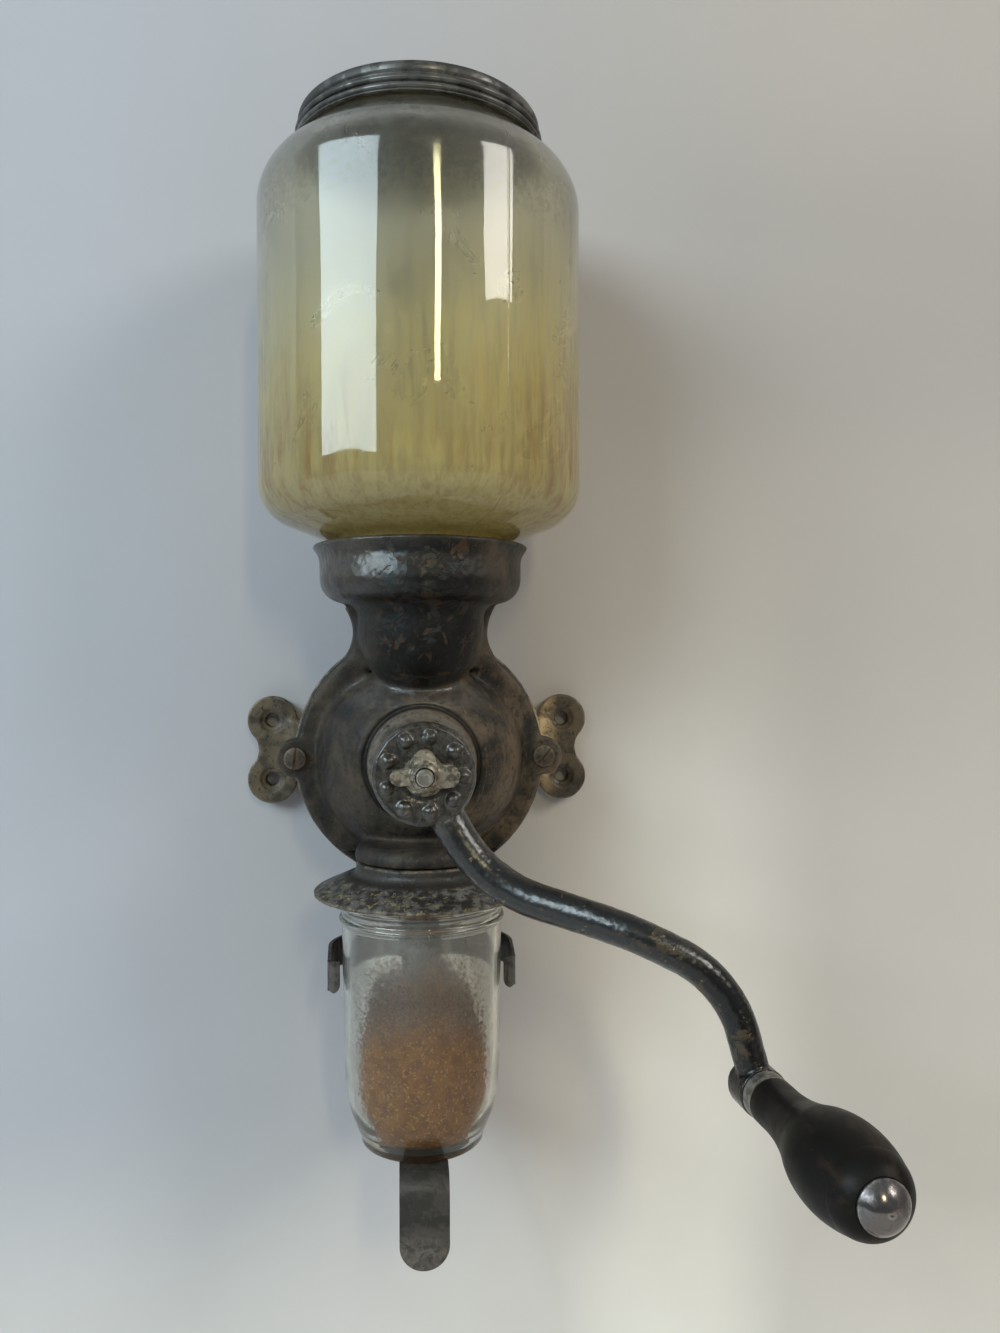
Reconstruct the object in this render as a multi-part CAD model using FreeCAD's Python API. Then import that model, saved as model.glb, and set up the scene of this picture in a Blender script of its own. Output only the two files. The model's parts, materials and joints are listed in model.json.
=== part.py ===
"""Wall-mounted coffee mill: glass hopper, cast housing, hand crank and catch cup.

Millimetres, +Z up. The mill faces -Y and hangs on a wall in the plane y = 0. The origin is the
centre of the four wall screws, level with the spindle, which runs along Y through x = 0, z = 0.
The hopper, the neck and the cup share one upright axis at x = 0, y = JAR_Y.
"""
import FreeCAD
import Part
import math
import os

os.makedirs("parts", exist_ok=True)

V = FreeCAD.Vector
X_AXIS = V(1, 0, 0)
Y_AXIS = V(0, 1, 0)
Z_AXIS = V(0, 0, 1)

# Fits
RUNNING_FIT = 0.05       # radial play of a turning or sliding shaft
LOOSE_FIT = 0.25         # radial play of a pin or screw in its hole
SEAT_GAP = 0.3           # between pieces that only rest against each other
BEVEL = 0.6              # broken edges of turned pieces

# Hopper jar
JAR_R = 62.5
JAR_WALL = 3.6
JAR_SIDE_H = 106.0
JAR_BASE_RADIUS = 15.5   # round between side and sloping base
JAR_BASE_SLOPE = 21.0    # degrees
JAR_SHOULDER_RADIUS = 20.0
JAR_SHOULDER_SLOPE = 40.0
JAR_FOOT_R = 34.5        # stem that stands in the socket
JAR_FOOT_H = 15.0
JAR_FINISH_R = 45.4      # cylinder that the cap screws on
JAR_FINISH_H = 9.0
JAR_WALL_GAP = 1.3       # back of the jar to the wall
JAR_Y = -(JAR_R + JAR_WALL_GAP)
GASKET_T = 1.5
GASKET_W = 6.0

# Cap
CAP_T = 1.2
CAP_H = 11.6
CAP_PLAY = 0.7           # radial room for the thread
CAP_BEAD_R = 0.9         # rolled ridges of the skirt
LINER_T = 1.0

# Socket ring and neck, upper part of the housing
SOCKET_FLOOR_Z = 69.0
SOCKET_FLOOR_T = 7.0
SOCKET_DEPTH = 15.2
SOCKET_PLAY = 1.9
SOCKET_WALL = 3.0
SOCKET_ROUND = 9.0
LIP_W = 2.6              # everted lip past the socket wall
NECK_R = 24.8
NECK_BORE_R = 19.5
NECK_END_Z = 28.0        # lower end of the bulge above the boss
NECK_ROUND = 22.0
NECK_FLOOR_Z = 32.5      # floor of the way for the beans inside the neck
NECK_FUNNEL_H = 10.0     # height of its sloping part

# Disc, boss and split
SPLIT_Y = -40.0          # plane between front and back castings
DISC_R = 50.6
RIM_T = 8.0
RIM_W = 7.9              # flat band inside the edge
STEP_H = 2.0
DOME_H = 26.0
BOSS_R = 20.4
BOSS_H = 7.0
BOSS_DISH = 1.2
WALL_T = 5.0
SEAM_Z = -38.3           # level joint between front casting and flange collar

# Back pan and rear bearing
PAN_R = 52.0
PAN_RIM_T = 6.0
PAN_BACK_R = 46.0
PAN_DEPTH = 19.0
PAN_WALL = 4.5
REAR_BOSS_R = 12.0
REAR_BOSS_H = 14.0
BUSH_R = 9.0
NECK_PLATE_W = 28.2      # half width of the back casting behind the neck
FLANK_H = 25.0           # height of the waisted sides, down from the socket
FLANK_TOP_SPREAD = 3.4   # how much they widen towards the socket
FLANK_FOOT_SPREAD = 8.2  # how much they widen towards the disc

# Wall ears
EAR_X = 65.2
EAR_Z = 13.1
EAR_R = 10.9
EAR_T = 7.0
EAR_WAIST_X = 71.2
EAR_HOLE_R = 2.9
EAR_DIMPLE_R = 5.2

# Screws that hold the castings together
LUG_OUT = 0.1            # lug centres past the disc's edge
LUG_X = DISC_R + LUG_OUT
LUG_R = 8.0
HOUSING_SCREW_R = 2.4
HOUSING_SCREW_LEN = 17.0
FILLISTER_R = 4.4
FILLISTER_H = 3.0
SLOT_W = 1.0
SLOT_DEPTH = 1.3

# Cup lid flange and chute
DUCT_R = 26.2
DUCT_ROUND = 5.0
DUCT_TOP_Z = -31.0
COLLAR_R = 25.7
FLANGE_R = 42.3
FLANGE_EDGE_T = 1.9
FLANGE_RISE = 5.8
FLANGE_BOTTOM_Z = -51.4
CHUTE_W = 30.0
CHUTE_FRONT_Y = -72.0

# Burrs and feed
OUTER_BURR_R = 34.5
OUTER_BURR_T = 6.0
BURR_EYE_R = 16.0
INNER_BURR_R = 30.4
INNER_BURR_T = 6.0
INNER_BURR_HUB_R = 11.0
INNER_BURR_HUB_T = 6.0
BURR_GAP = 0.4
GROOVE_COUNT = 24
GROOVE_W = 2.0
GROOVE_DEPTH = 1.2
GROOVE_SLANT = 20.0
FEED_POCKET_R = 17.0
FEED_POCKET_DEPTH = 10.0
THROAT_W = 22.0
WORM_ROOT_R = 9.0
WORM_R = 14.5
WORM_LEN = 13.0
WORM_FIN_T = 2.4
BURR_SCREW_R = 1.2
BURR_SCREW_HEAD_R = 1.8
BURR_SCREW_LEN = 9.0
BURR_SCREW_COUNT = 3

# Spindle
SPINDLE_R = 6.35
STUD_R = 3.0
SPINDLE_FLAT = 4.9       # half distance across the two flats
PIN_R = 1.6
WASHER_T = 1.0
WASHER_R = 14.0

# Crank
HUB_R = 18.2
HUB_T = 9.0
HUB_STANDOFF = 23.5      # length of the crank's sleeve behind the hub disc
SLEEVE_R = 12.5
BUMP_COUNT = 9
BUMP_R = 2.4             # radius of the ball that each bump shows the cap of
BUMP_CIRCLE_R = 14.95
BUMP_H = 1.7
BUMP_FIRST = 1.0         # degrees from +X towards -Z
ARM_ROOT_R = 6.7
ARM_END_R = 5.6
ARM_START_X = 4.0        # the arm's bends: across, down, and out from the wall
ARM_START_DROP = 8.0
ARM_START_OUT = 108.4
ARM_BEND_X = 21.2
ARM_BEND_DROP = 38.7
ARM_BEND_OUT = 113.0
ARM_KNEE_X = 68.0
ARM_KNEE_DROP = 51.2
ARM_KNEE_OUT = 132.0
ARM_ELBOW_X = 100.0
ARM_ELBOW_DROP = 67.0
ARM_ELBOW_OUT = 136.5
ARM_END_X = 109.7
ARM_END_DROP = 103.1
ARM_END_OUT = 137.5
ARM_START = V(ARM_START_X, -ARM_START_OUT, -ARM_START_DROP)
ARM_BEND = V(ARM_BEND_X, -ARM_BEND_OUT, -ARM_BEND_DROP)
ARM_KNEE = V(ARM_KNEE_X, -ARM_KNEE_OUT, -ARM_KNEE_DROP)
ARM_ELBOW = V(ARM_ELBOW_X, -ARM_ELBOW_OUT, -ARM_ELBOW_DROP)
ARM_END = V(ARM_END_X, -ARM_END_OUT, -ARM_END_DROP)
ARM_RADII = (46.0, 70.0, 40.0)
EYE_R = 8.4
EYE_T = 12.8

# Adjusting nut
NUT_BODY_R = 7.4
NUT_H = 8.0
NUT_LOBES = ((0.0, 12.3, 4.2), (90.0, 9.4, 4.2), (182.0, 12.0, 2.9))  # turn, reach, half width
NUT_LOBE_T = 5.6
STUD_SHOWING = 1.6

# Grip
GRIP_LEAN = 3.7          # degrees, from the spindle's direction, in the turning direction
GRIP_LEN = 73.5
GRIP_BASE_R = 7.2
GRIP_WAIST_R = 8.5
GRIP_WAIST_AT = 23.0
GRIP_BULB_R = 14.2
GRIP_BULB_AT = 54.0
GRIP_END_R = 7.6
FERRULE_LEN = 6.0
FERRULE_T = 0.7
RIVET_R = 3.0
RIVET_HEAD_R = 7.3
RIVET_HEAD_H = 4.2
RIVET_RIM_T = 0.5
RIVET_TAIL_R = 4.6
RIVET_TAIL_H = 1.4

# Catch cup
CUP_R = 30.7
CUP_RIM_R = 32.4
CUP_WALL = 2.6
CUP_FLOOR_T = 5.0
CUP_H = 96.0
CUP_FOOT_R = 24.0
CUP_SHOULDER_H = 30.0
CUP_BEAD_PITCH = 5.2

# Cup holder
STRAP_W = 18.2
STRAP_T = 1.6
STRAP_Y = -17.5          # front face of the upright strap
STRAP_TOP_Z = -22.0
STRAP_SCREW_Z = -29.0
STRAP_SCREW_X = 5.0
STRAP_SCREW_R = 1.7
STRAP_HEAD_R = 3.2
STRAP_HEAD_GAP = 0.7
STRAP_SCREW_TURN = 20.0  # degrees, how far each slot is turned
STRAP_BEND_R = 6.0
TAB_Y = -98.5
TAB_DROP = 33.0
BAND_W = 12.0
BAND_T = 1.3
BAND_TOP_Z = -77.4
BAND_BEND_R = 26.0
ARM_REAR_X = 38.0        # outer side of the arm next to its rear bend
ARM_FRONT_X = 36.8       # outer side next to its turned-in tip
ARM_TIP_X = 31.9         # inner edge of the tip, clear of the cup's side
ARM_TIP_Y = -68.6
ARM_TIP_BEND_R = 3.0
ARM_TIP_ROUND = 3.2
HOLDER_RIVET_X = 4.8
HOLDER_RIVET_R = 1.5
HOLDER_RIVET_HEAD_R = 2.8
HOLDER_RIVET_HEAD_H = 1.2


def path_edges(start, steps, place):
    """Edges along a flat outline; a step is a point, or a middle point and an end of an arc."""
    edges = []
    here = place(*start)
    for step in steps:
        if isinstance(step[0], tuple):
            middle = place(*step[0])
            there = place(*step[1])
            edges.append(Part.Arc(here, middle, there).toShape())
        else:
            there = place(*step)
            edges.append(Part.LineSegment(here, there).toShape())
        here = there
    return edges


def closed_face(start, steps, place):
    """Face inside an outline; a last line is added where it doesn't end at its start."""
    steps = list(steps)
    last = steps[-1][-1] if isinstance(steps[-1][0], tuple) else steps[-1]
    if math.dist(last, start) > 1e-6:
        steps.append(start)
    return Part.Face(Part.Wire(path_edges(start, steps, place)))


def turned_upright(start, steps, y=0.0):
    """Solid turned about the upright axis through (0, y); the outline is in (radius, z)."""
    face = closed_face(start, steps, lambda r, z: V(r, y, z))
    return face.revolve(V(0, y, 0), Z_AXIS, 360)


def turned_level(start, steps):
    """Solid turned about the spindle's axis; the outline is in (radius, y)."""
    face = closed_face(start, steps, lambda r, y: V(r, y, 0))
    return face.revolve(V(0, 0, 0), Y_AXIS, 360)


def slab_xz(start, steps, y_from, y_to):
    """Plate whose outline is in (x, z), from one y to another."""
    face = closed_face(start, steps, lambda x, z: V(x, y_from, z))
    return face.extrude(V(0, y_to - y_from, 0))


def slab_yz(start, steps, half_width):
    """Plate whose outline is in (y, z), centred on x = 0."""
    face = closed_face(start, steps, lambda y, z: V(-half_width, y, z))
    return face.extrude(V(2 * half_width, 0, 0))


def rod_y(radius, y_from, y_to, x=0.0, z=0.0):
    """Cylinder along Y between two places."""
    low = min(y_from, y_to)
    return Part.makeCylinder(radius, abs(y_to - y_from), V(x, low, z), Y_AXIS)


def rod_z(radius, z_from, z_to, x=0.0, y=0.0):
    """Upright cylinder between two heights."""
    low = min(z_from, z_to)
    return Part.makeCylinder(radius, abs(z_to - z_from), V(x, y, low), Z_AXIS)


def block(x0, x1, y0, y1, z0, z1):
    """Box between two corners."""
    return Part.makeBox(x1 - x0, y1 - y0, z1 - z0, V(x0, y0, z0))


def fuse(first, *others):
    """One solid from several, with seams cleaned up."""
    return first.multiFuse(list(others)).removeSplitter()


def cut(body, *tools):
    """Body less the tools."""
    return body.cut(list(tools))


def on_arc(centre, radius, degrees):
    """Point of a circle in a flat outline."""
    turn = math.radians(degrees)
    return (centre[0] + radius * math.cos(turn), centre[1] + radius * math.sin(turn))


def arc_step(centre, radius, first, last):
    """Arc step of an outline from one angle to another about a centre."""
    return (on_arc(centre, radius, (first + last) / 2), on_arc(centre, radius, last))


def dome_step(radius, rim_level, height):
    """Arc step from a rim to the axis: a true spherical cap, so that it turns to a clean face."""
    sphere_r = (radius ** 2 + height ** 2) / (2 * height)
    centre = (0.0, rim_level + height - sphere_r)
    rim_angle = math.degrees(math.atan2(rim_level - centre[1], radius))
    return arc_step(centre, sphere_r, rim_angle, 90.0)


def save(node, shape):
    """Write one sub-part."""
    shape.exportStep("parts/" + node + ".step")


# Hopper jar: one outline for the outside, one wall thickness further in for the inside
JAR_FOOT_Z = SOCKET_FLOOR_Z + GASKET_T
JAR_STEM_TOP_Z = JAR_FOOT_Z + JAR_FOOT_H


def jar_levels(inset):
    """Radii and heights of the jar's outline, drawn in by a wall thickness."""
    slope = math.radians(JAR_BASE_SLOPE)
    fall = math.radians(JAR_SHOULDER_SLOPE)
    stem_r = JAR_FOOT_R - inset
    side_r = JAR_R - inset
    base_round = JAR_BASE_RADIUS - inset
    outer_end_r = JAR_R - JAR_BASE_RADIUS * (1 - math.sin(slope))
    base_z = (JAR_STEM_TOP_Z + (outer_end_r - JAR_FOOT_R) * math.tan(slope)
              + JAR_BASE_RADIUS * math.cos(slope))
    top_z = base_z + JAR_SIDE_H
    base_centre = (side_r - base_round, base_z)
    shoulder_round = JAR_SHOULDER_RADIUS - inset
    shoulder_centre = (side_r - shoulder_round, top_z)
    cone_foot = on_arc(base_centre, base_round, JAR_BASE_SLOPE - 90)
    cone_top = on_arc(shoulder_centre, shoulder_round, 90 - JAR_SHOULDER_SLOPE)
    stem_z = cone_foot[1] - (cone_foot[0] - stem_r) * math.tan(slope)
    finish_r = JAR_FINISH_R - inset
    finish_z = cone_top[1] + (cone_top[0] - finish_r) * math.tan(fall)
    return {"stem_r": stem_r, "stem_z": stem_z, "base": base_centre, "base_round": base_round,
            "shoulder": shoulder_centre, "shoulder_round": shoulder_round, "side_r": side_r,
            "cone_foot": cone_foot, "cone_top": cone_top, "finish_r": finish_r, "finish_z": finish_z,
            "base_z": base_z, "top_z": top_z}


JAR_OUTSIDE = jar_levels(0.0)
JAR_INSIDE = jar_levels(JAR_WALL)
CAP_SEAT_Z = JAR_OUTSIDE["finish_z"]
JAR_TOP_Z = CAP_SEAT_Z + JAR_FINISH_H


def jar_outline(level, foot_z, top_z):
    """Steps from the axis at the foot, up the outside, to the axis at the top."""
    return [(level["stem_r"], foot_z), (level["stem_r"], level["stem_z"]), level["cone_foot"],
            arc_step(level["base"], level["base_round"], JAR_BASE_SLOPE - 90, 0),
            (level["side_r"], level["top_z"]),
            arc_step(level["shoulder"], level["shoulder_round"], 0, 90 - JAR_SHOULDER_SLOPE),
            (level["finish_r"], level["finish_z"]), (level["finish_r"], top_z), (0, top_z)]


def hopper_jar():
    """Blown glass jar, open at the top and at the stem, with rounded lips."""
    outer = turned_upright((0, JAR_FOOT_Z), jar_outline(JAR_OUTSIDE, JAR_FOOT_Z, JAR_TOP_Z), JAR_Y)
    hollow = turned_upright((0, JAR_FOOT_Z - 1), jar_outline(JAR_INSIDE, JAR_FOOT_Z - 1, JAR_TOP_Z + 1),
                            JAR_Y)
    glass = outer.cut(hollow)
    lips = [e for e in glass.Edges if abs(e.BoundBox.ZMax - e.BoundBox.ZMin) < 1e-4
            and (abs(e.BoundBox.ZMax - JAR_TOP_Z) < 1e-3 or abs(e.BoundBox.ZMin - JAR_FOOT_Z) < 1e-3)]
    return glass.makeFillet(JAR_WALL * 0.3, lips)


def jar_gasket():
    """Cork ring between the jar's stem and the floor of the socket."""
    inner = JAR_FOOT_R - GASKET_W
    return turned_upright((inner, SOCKET_FLOOR_Z), [(JAR_FOOT_R, SOCKET_FLOOR_Z), (JAR_FOOT_R, JAR_FOOT_Z),
                                                    (inner, JAR_FOOT_Z)], JAR_Y)


CAP_BOTTOM_Z = CAP_SEAT_Z + SEAT_GAP
CAP_TOP_Z = CAP_BOTTOM_Z + CAP_H
CAP_IN_R = JAR_FINISH_R + CAP_PLAY
LINER_TOP_Z = CAP_TOP_Z - CAP_T - SEAT_GAP


def jar_cap():
    """Pressed sheet cap: flat top with a rounded edge, a groove and two rolled ridges."""
    r_out = CAP_IN_R + CAP_T
    groove_z = CAP_TOP_Z - CAP_H * 0.42
    ridge_zs = (groove_z - CAP_H * 0.16, groove_z - CAP_H * 0.36)
    steps = [(CAP_IN_R, CAP_TOP_Z - CAP_T), (0, CAP_TOP_Z - CAP_T), (0, CAP_TOP_Z),
             (r_out - 2.2, CAP_TOP_Z),
             ((r_out - 0.9, CAP_TOP_Z - 0.6), (r_out - 0.3, CAP_TOP_Z - 1.9)),
             (r_out - 0.3, groove_z + 1.0), ((r_out - 0.8, groove_z + 0.2), (r_out, groove_z - 0.9))]
    for z in ridge_zs:
        steps += [(r_out, z + CAP_BEAD_R), arc_step((r_out, z), CAP_BEAD_R, 90, -90)]
    steps += [(r_out, CAP_BOTTOM_Z + 1.4), (r_out + 0.7, CAP_BOTTOM_Z)]
    return turned_upright((CAP_IN_R, CAP_BOTTOM_Z), steps, JAR_Y)


def cap_liner():
    """Card disc inside the cap that closes the jar's mouth."""
    r = CAP_IN_R - SEAT_GAP
    return rod_z(r, LINER_TOP_Z - LINER_T, LINER_TOP_Z, 0, JAR_Y)


# Casting outlines. Both castings share the split plane, the seam and these levels.
SOCKET_R = JAR_FOOT_R + SOCKET_PLAY
SOCKET_OUT_R = SOCKET_R + SOCKET_WALL
SOCKET_TOP_Z = SOCKET_FLOOR_Z + SOCKET_DEPTH
SOCKET_UNDER_Z = SOCKET_FLOOR_Z - SOCKET_FLOOR_T
RIM_FACE_Y = SPLIT_Y - RIM_T
DOME_FOOT_Y = RIM_FACE_Y - STEP_H
DOME_TOP_Y = DOME_FOOT_Y - DOME_H
BOSS_FACE_Y = DOME_TOP_Y - BOSS_H
THRUST_Y = BOSS_FACE_Y + BOSS_DISH
BORE_R = SPINDLE_R + RUNNING_FIT
OUTER_BURR_BACK_Y = SPLIT_Y - 1.0
OUTER_BURR_FRONT_Y = OUTER_BURR_BACK_Y - OUTER_BURR_T
FEED_FRONT_Y = OUTER_BURR_FRONT_Y - FEED_POCKET_DEPTH
PAN_BACK_Y = SPLIT_Y + PAN_DEPTH
PAN_FLOOR_Y = PAN_BACK_Y - PAN_WALL
PAN_IN_R = PAN_BACK_R - PAN_WALL
REAR_BOSS_Y = PAN_BACK_Y + REAR_BOSS_H
BUSH_END_Y = REAR_BOSS_Y - 3.0
BURR_SCREW_CIRCLE_R = (OUTER_BURR_R + INNER_BURR_R) / 2
DUCT_SHOULDER_Z = DUCT_TOP_Z - DUCT_ROUND


def socket_and_neck():
    """Outer form of the socket ring, its everted lip and the round neck below it."""
    corner = (SOCKET_OUT_R - SOCKET_ROUND, SOCKET_UNDER_Z + SOCKET_ROUND)
    flare_r = corner[0] - NECK_R
    flare = (corner[0], SOCKET_UNDER_Z - flare_r)
    toe = (NECK_R - NECK_ROUND, NECK_END_Z + NECK_ROUND)
    lip_r = SOCKET_OUT_R + LIP_W
    lip_z = SOCKET_TOP_Z - 1.5
    steps = [(toe[0], NECK_END_Z), arc_step(toe, NECK_ROUND, -90, 0), (NECK_R, flare[1]),
             arc_step(flare, flare_r, 180, 90),
             arc_step(corner, SOCKET_ROUND, -90, 0),
             (SOCKET_OUT_R, lip_z - 5.0), ((SOCKET_OUT_R + 0.75, lip_z - 2.3), (lip_r, lip_z)),
             ((lip_r - 0.3, SOCKET_TOP_Z - 0.4), (lip_r - 1.4, SOCKET_TOP_Z)),
             (SOCKET_R + 1.2, SOCKET_TOP_Z), (SOCKET_R, SOCKET_TOP_Z - 1.2), (0, SOCKET_TOP_Z - 1.2)]
    return turned_upright((0, NECK_END_Z), steps, JAR_Y)


def neck_flank(half_width, top_z, y_from, y_to):
    """Waisted plate that carries the neck's sides to the split plane."""
    foot_z = SOCKET_UNDER_Z - FLANK_H
    waist_z = (foot_z + top_z) / 2
    foot_w = half_width + FLANK_FOOT_SPREAD
    top_w = half_width + FLANK_TOP_SPREAD
    return slab_xz((-foot_w, foot_z), [(foot_w, foot_z), ((half_width, waist_z), (top_w, top_z)),
                                       (-top_w, top_z), ((-half_width, waist_z), (-foot_w, foot_z))],
                   y_from, y_to)


def disc_front():
    """Front of the disc: edge, flat band, raised step, dome, boss and dished thrust face."""
    band_r = DISC_R - RIM_W
    edge = 1.5
    dome_end_r = BOSS_R + 4.0
    dome_mid = (band_r - (band_r - dome_end_r) * 0.42, DOME_FOOT_Y - DOME_H * 0.56)
    dish_r = WASHER_R + 1.0
    steps = [(DISC_R, SPLIT_Y), (DISC_R, RIM_FACE_Y + edge), (DISC_R - edge, RIM_FACE_Y),
             (band_r, RIM_FACE_Y), (band_r - 0.8, DOME_FOOT_Y + 0.4),
             (dome_mid, (dome_end_r, DOME_TOP_Y)),
             ((BOSS_R + 1.2, DOME_TOP_Y - 0.9), (BOSS_R, DOME_TOP_Y - 4.0)),
             (BOSS_R, BOSS_FACE_Y + edge), (BOSS_R - edge, BOSS_FACE_Y), (dish_r + 1.0, BOSS_FACE_Y),
             (dish_r, THRUST_Y), (0, THRUST_Y)]
    return turned_level((0, SPLIT_Y), steps)


def duct_front():
    """Bulge below the disc that leads the grounds down to the cup."""
    toe = (DUCT_R - DUCT_ROUND, DUCT_SHOULDER_Z)
    steps = [(DUCT_R, SEAM_Z), (DUCT_R, DUCT_SHOULDER_Z), arc_step(toe, DUCT_ROUND, 0, 90),
             (0, DUCT_TOP_Z)]
    return turned_upright((0, SEAM_Z), steps, JAR_Y)


def chute():
    """Way of the grounds from the back pan, under the fixed burr and through the flange."""
    under = -(OUTER_BURR_R + 5.0)
    low = FLANGE_BOTTOM_Z - 1.0
    steps = [(PAN_FLOOR_Y - 2.0, under + 3.0), (SPLIT_Y - 3.0, low), (CHUTE_FRONT_Y, low),
             (CHUTE_FRONT_Y, under - 4.0), (OUTER_BURR_FRONT_Y - 3.0, under), (OUTER_BURR_BACK_Y, under),
             (OUTER_BURR_BACK_Y, under + 10.0)]
    return slab_yz((PAN_FLOOR_Y - 2.0, under + 10.0), steps, CHUTE_W / 2)


def neck_way():
    """Way of the beans: socket, funnel, neck bore and its sloping floor."""
    funnel_r = JAR_FOOT_R - GASKET_W
    steps = [(THROAT_W / 2 - 2.0, NECK_FLOOR_Z), (NECK_BORE_R, NECK_FLOOR_Z + NECK_FUNNEL_H),
             (NECK_BORE_R, SOCKET_UNDER_Z - 3.0), (funnel_r, SOCKET_FLOOR_Z), (SOCKET_R, SOCKET_FLOOR_Z),
             (SOCKET_R, SOCKET_TOP_Z + 1.0), (0, SOCKET_TOP_Z + 1.0)]
    return turned_upright((0, NECK_FLOOR_Z), steps, JAR_Y)


def burr_screw_places():
    """Centres (x, z) of the screws that hold the fixed burr."""
    step = 360.0 / BURR_SCREW_COUNT
    return [on_arc((0, 0), BURR_SCREW_CIRCLE_R, 30.0 + step * k) for k in range(BURR_SCREW_COUNT)]


def front_housing():
    """Front casting: socket, neck, disc, boss and duct bulge, hollow for beans and burr."""
    deep = BOSS_FACE_Y - 60.0
    body = fuse(socket_and_neck(), disc_front(), duct_front(),
                neck_flank(NECK_R + 0.1, SOCKET_UNDER_Z, JAR_Y + 4.0, SPLIT_Y),
                rod_y(LUG_R, SPLIT_Y, RIM_FACE_Y - 0.6, LUG_X),
                rod_y(LUG_R, SPLIT_Y, RIM_FACE_Y - 0.6, -LUG_X))
    wide = 2 * JAR_R
    behind = block(-wide, wide, SPLIT_Y, 0, SEAM_Z - wide, SOCKET_UNDER_Z)
    below = block(-wide, wide, deep, 0, SEAM_Z - wide, SEAM_Z)
    hollows = [behind, below, neck_way(), chute(),
               rod_y(BORE_R, THRUST_Y - 1, SPLIT_Y),
               rod_y(FEED_POCKET_R, FEED_FRONT_Y, SPLIT_Y),
               block(-THROAT_W / 2, THROAT_W / 2, FEED_FRONT_Y, OUTER_BURR_FRONT_Y,
                     0, NECK_FLOOR_Z + NECK_FUNNEL_H),
               rod_y(OUTER_BURR_R + LOOSE_FIT, OUTER_BURR_FRONT_Y, SPLIT_Y)]
    for side in (-1, 1):
        hollows.append(rod_y(HOUSING_SCREW_R + LOOSE_FIT, SPLIT_Y + 1, RIM_FACE_Y - 2, side * LUG_X))
    for x, z in burr_screw_places():
        hollows.append(rod_y(BURR_SCREW_R + RUNNING_FIT, OUTER_BURR_BACK_Y,
                             OUTER_BURR_BACK_Y - BURR_SCREW_LEN - SEAT_GAP, x, z))
    return cut(body, *hollows)


def ear_outline_slab(y_from, y_to):
    """Bridge between the two lobes of the right ear, waisted on its outer side."""
    tangent = on_arc((EAR_X, EAR_Z), EAR_R, -35.0)
    inner_x = EAR_X - EAR_R
    return slab_xz((inner_x, -EAR_Z), [(EAR_X, -EAR_Z), (tangent[0], -tangent[1]),
                                       ((EAR_WAIST_X, 0), tangent), (inner_x, EAR_Z)], y_from, y_to)


def right_ear():
    """Wall ear: two round lobes, a waisted bridge and the web to the pan."""
    lobes = [rod_y(EAR_R, -EAR_T, 0, EAR_X, side * EAR_Z) for side in (-1, 1)]
    web = slab_web()
    ear = fuse(lobes[0], lobes[1], ear_outline_slab(-EAR_T, 0), web)
    tools = []
    for side in (-1, 1):
        tools.append(rod_y(EAR_HOLE_R, -EAR_T - 1, 1, EAR_X, side * EAR_Z))
        tools.append(rod_y(EAR_DIMPLE_R, -EAR_T - 1, -EAR_T + 1.2, EAR_X, side * EAR_Z))
    return cut(ear, *tools)


def slab_web():
    """Leg that runs forward from the ear to the side of the pan."""
    face = closed_face((EAR_X - 8.0, 0), [(EAR_X - 6.0, -EAR_T), (EAR_X - 10.0, -EAR_T - 2.0),
                                          (LUG_X - 0.5, SPLIT_Y + 3.0), (LUG_X - 10.0, SPLIT_Y + 3.0),
                                          (LUG_X - 9.0, PAN_BACK_Y - 3.0), (EAR_X - 14.0, -EAR_T + 1.0),
                                          (EAR_X - 12.0, 0)], lambda x, y: V(x, y, -EAR_Z))
    return face.extrude(V(0, 0, 2 * EAR_Z))


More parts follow.
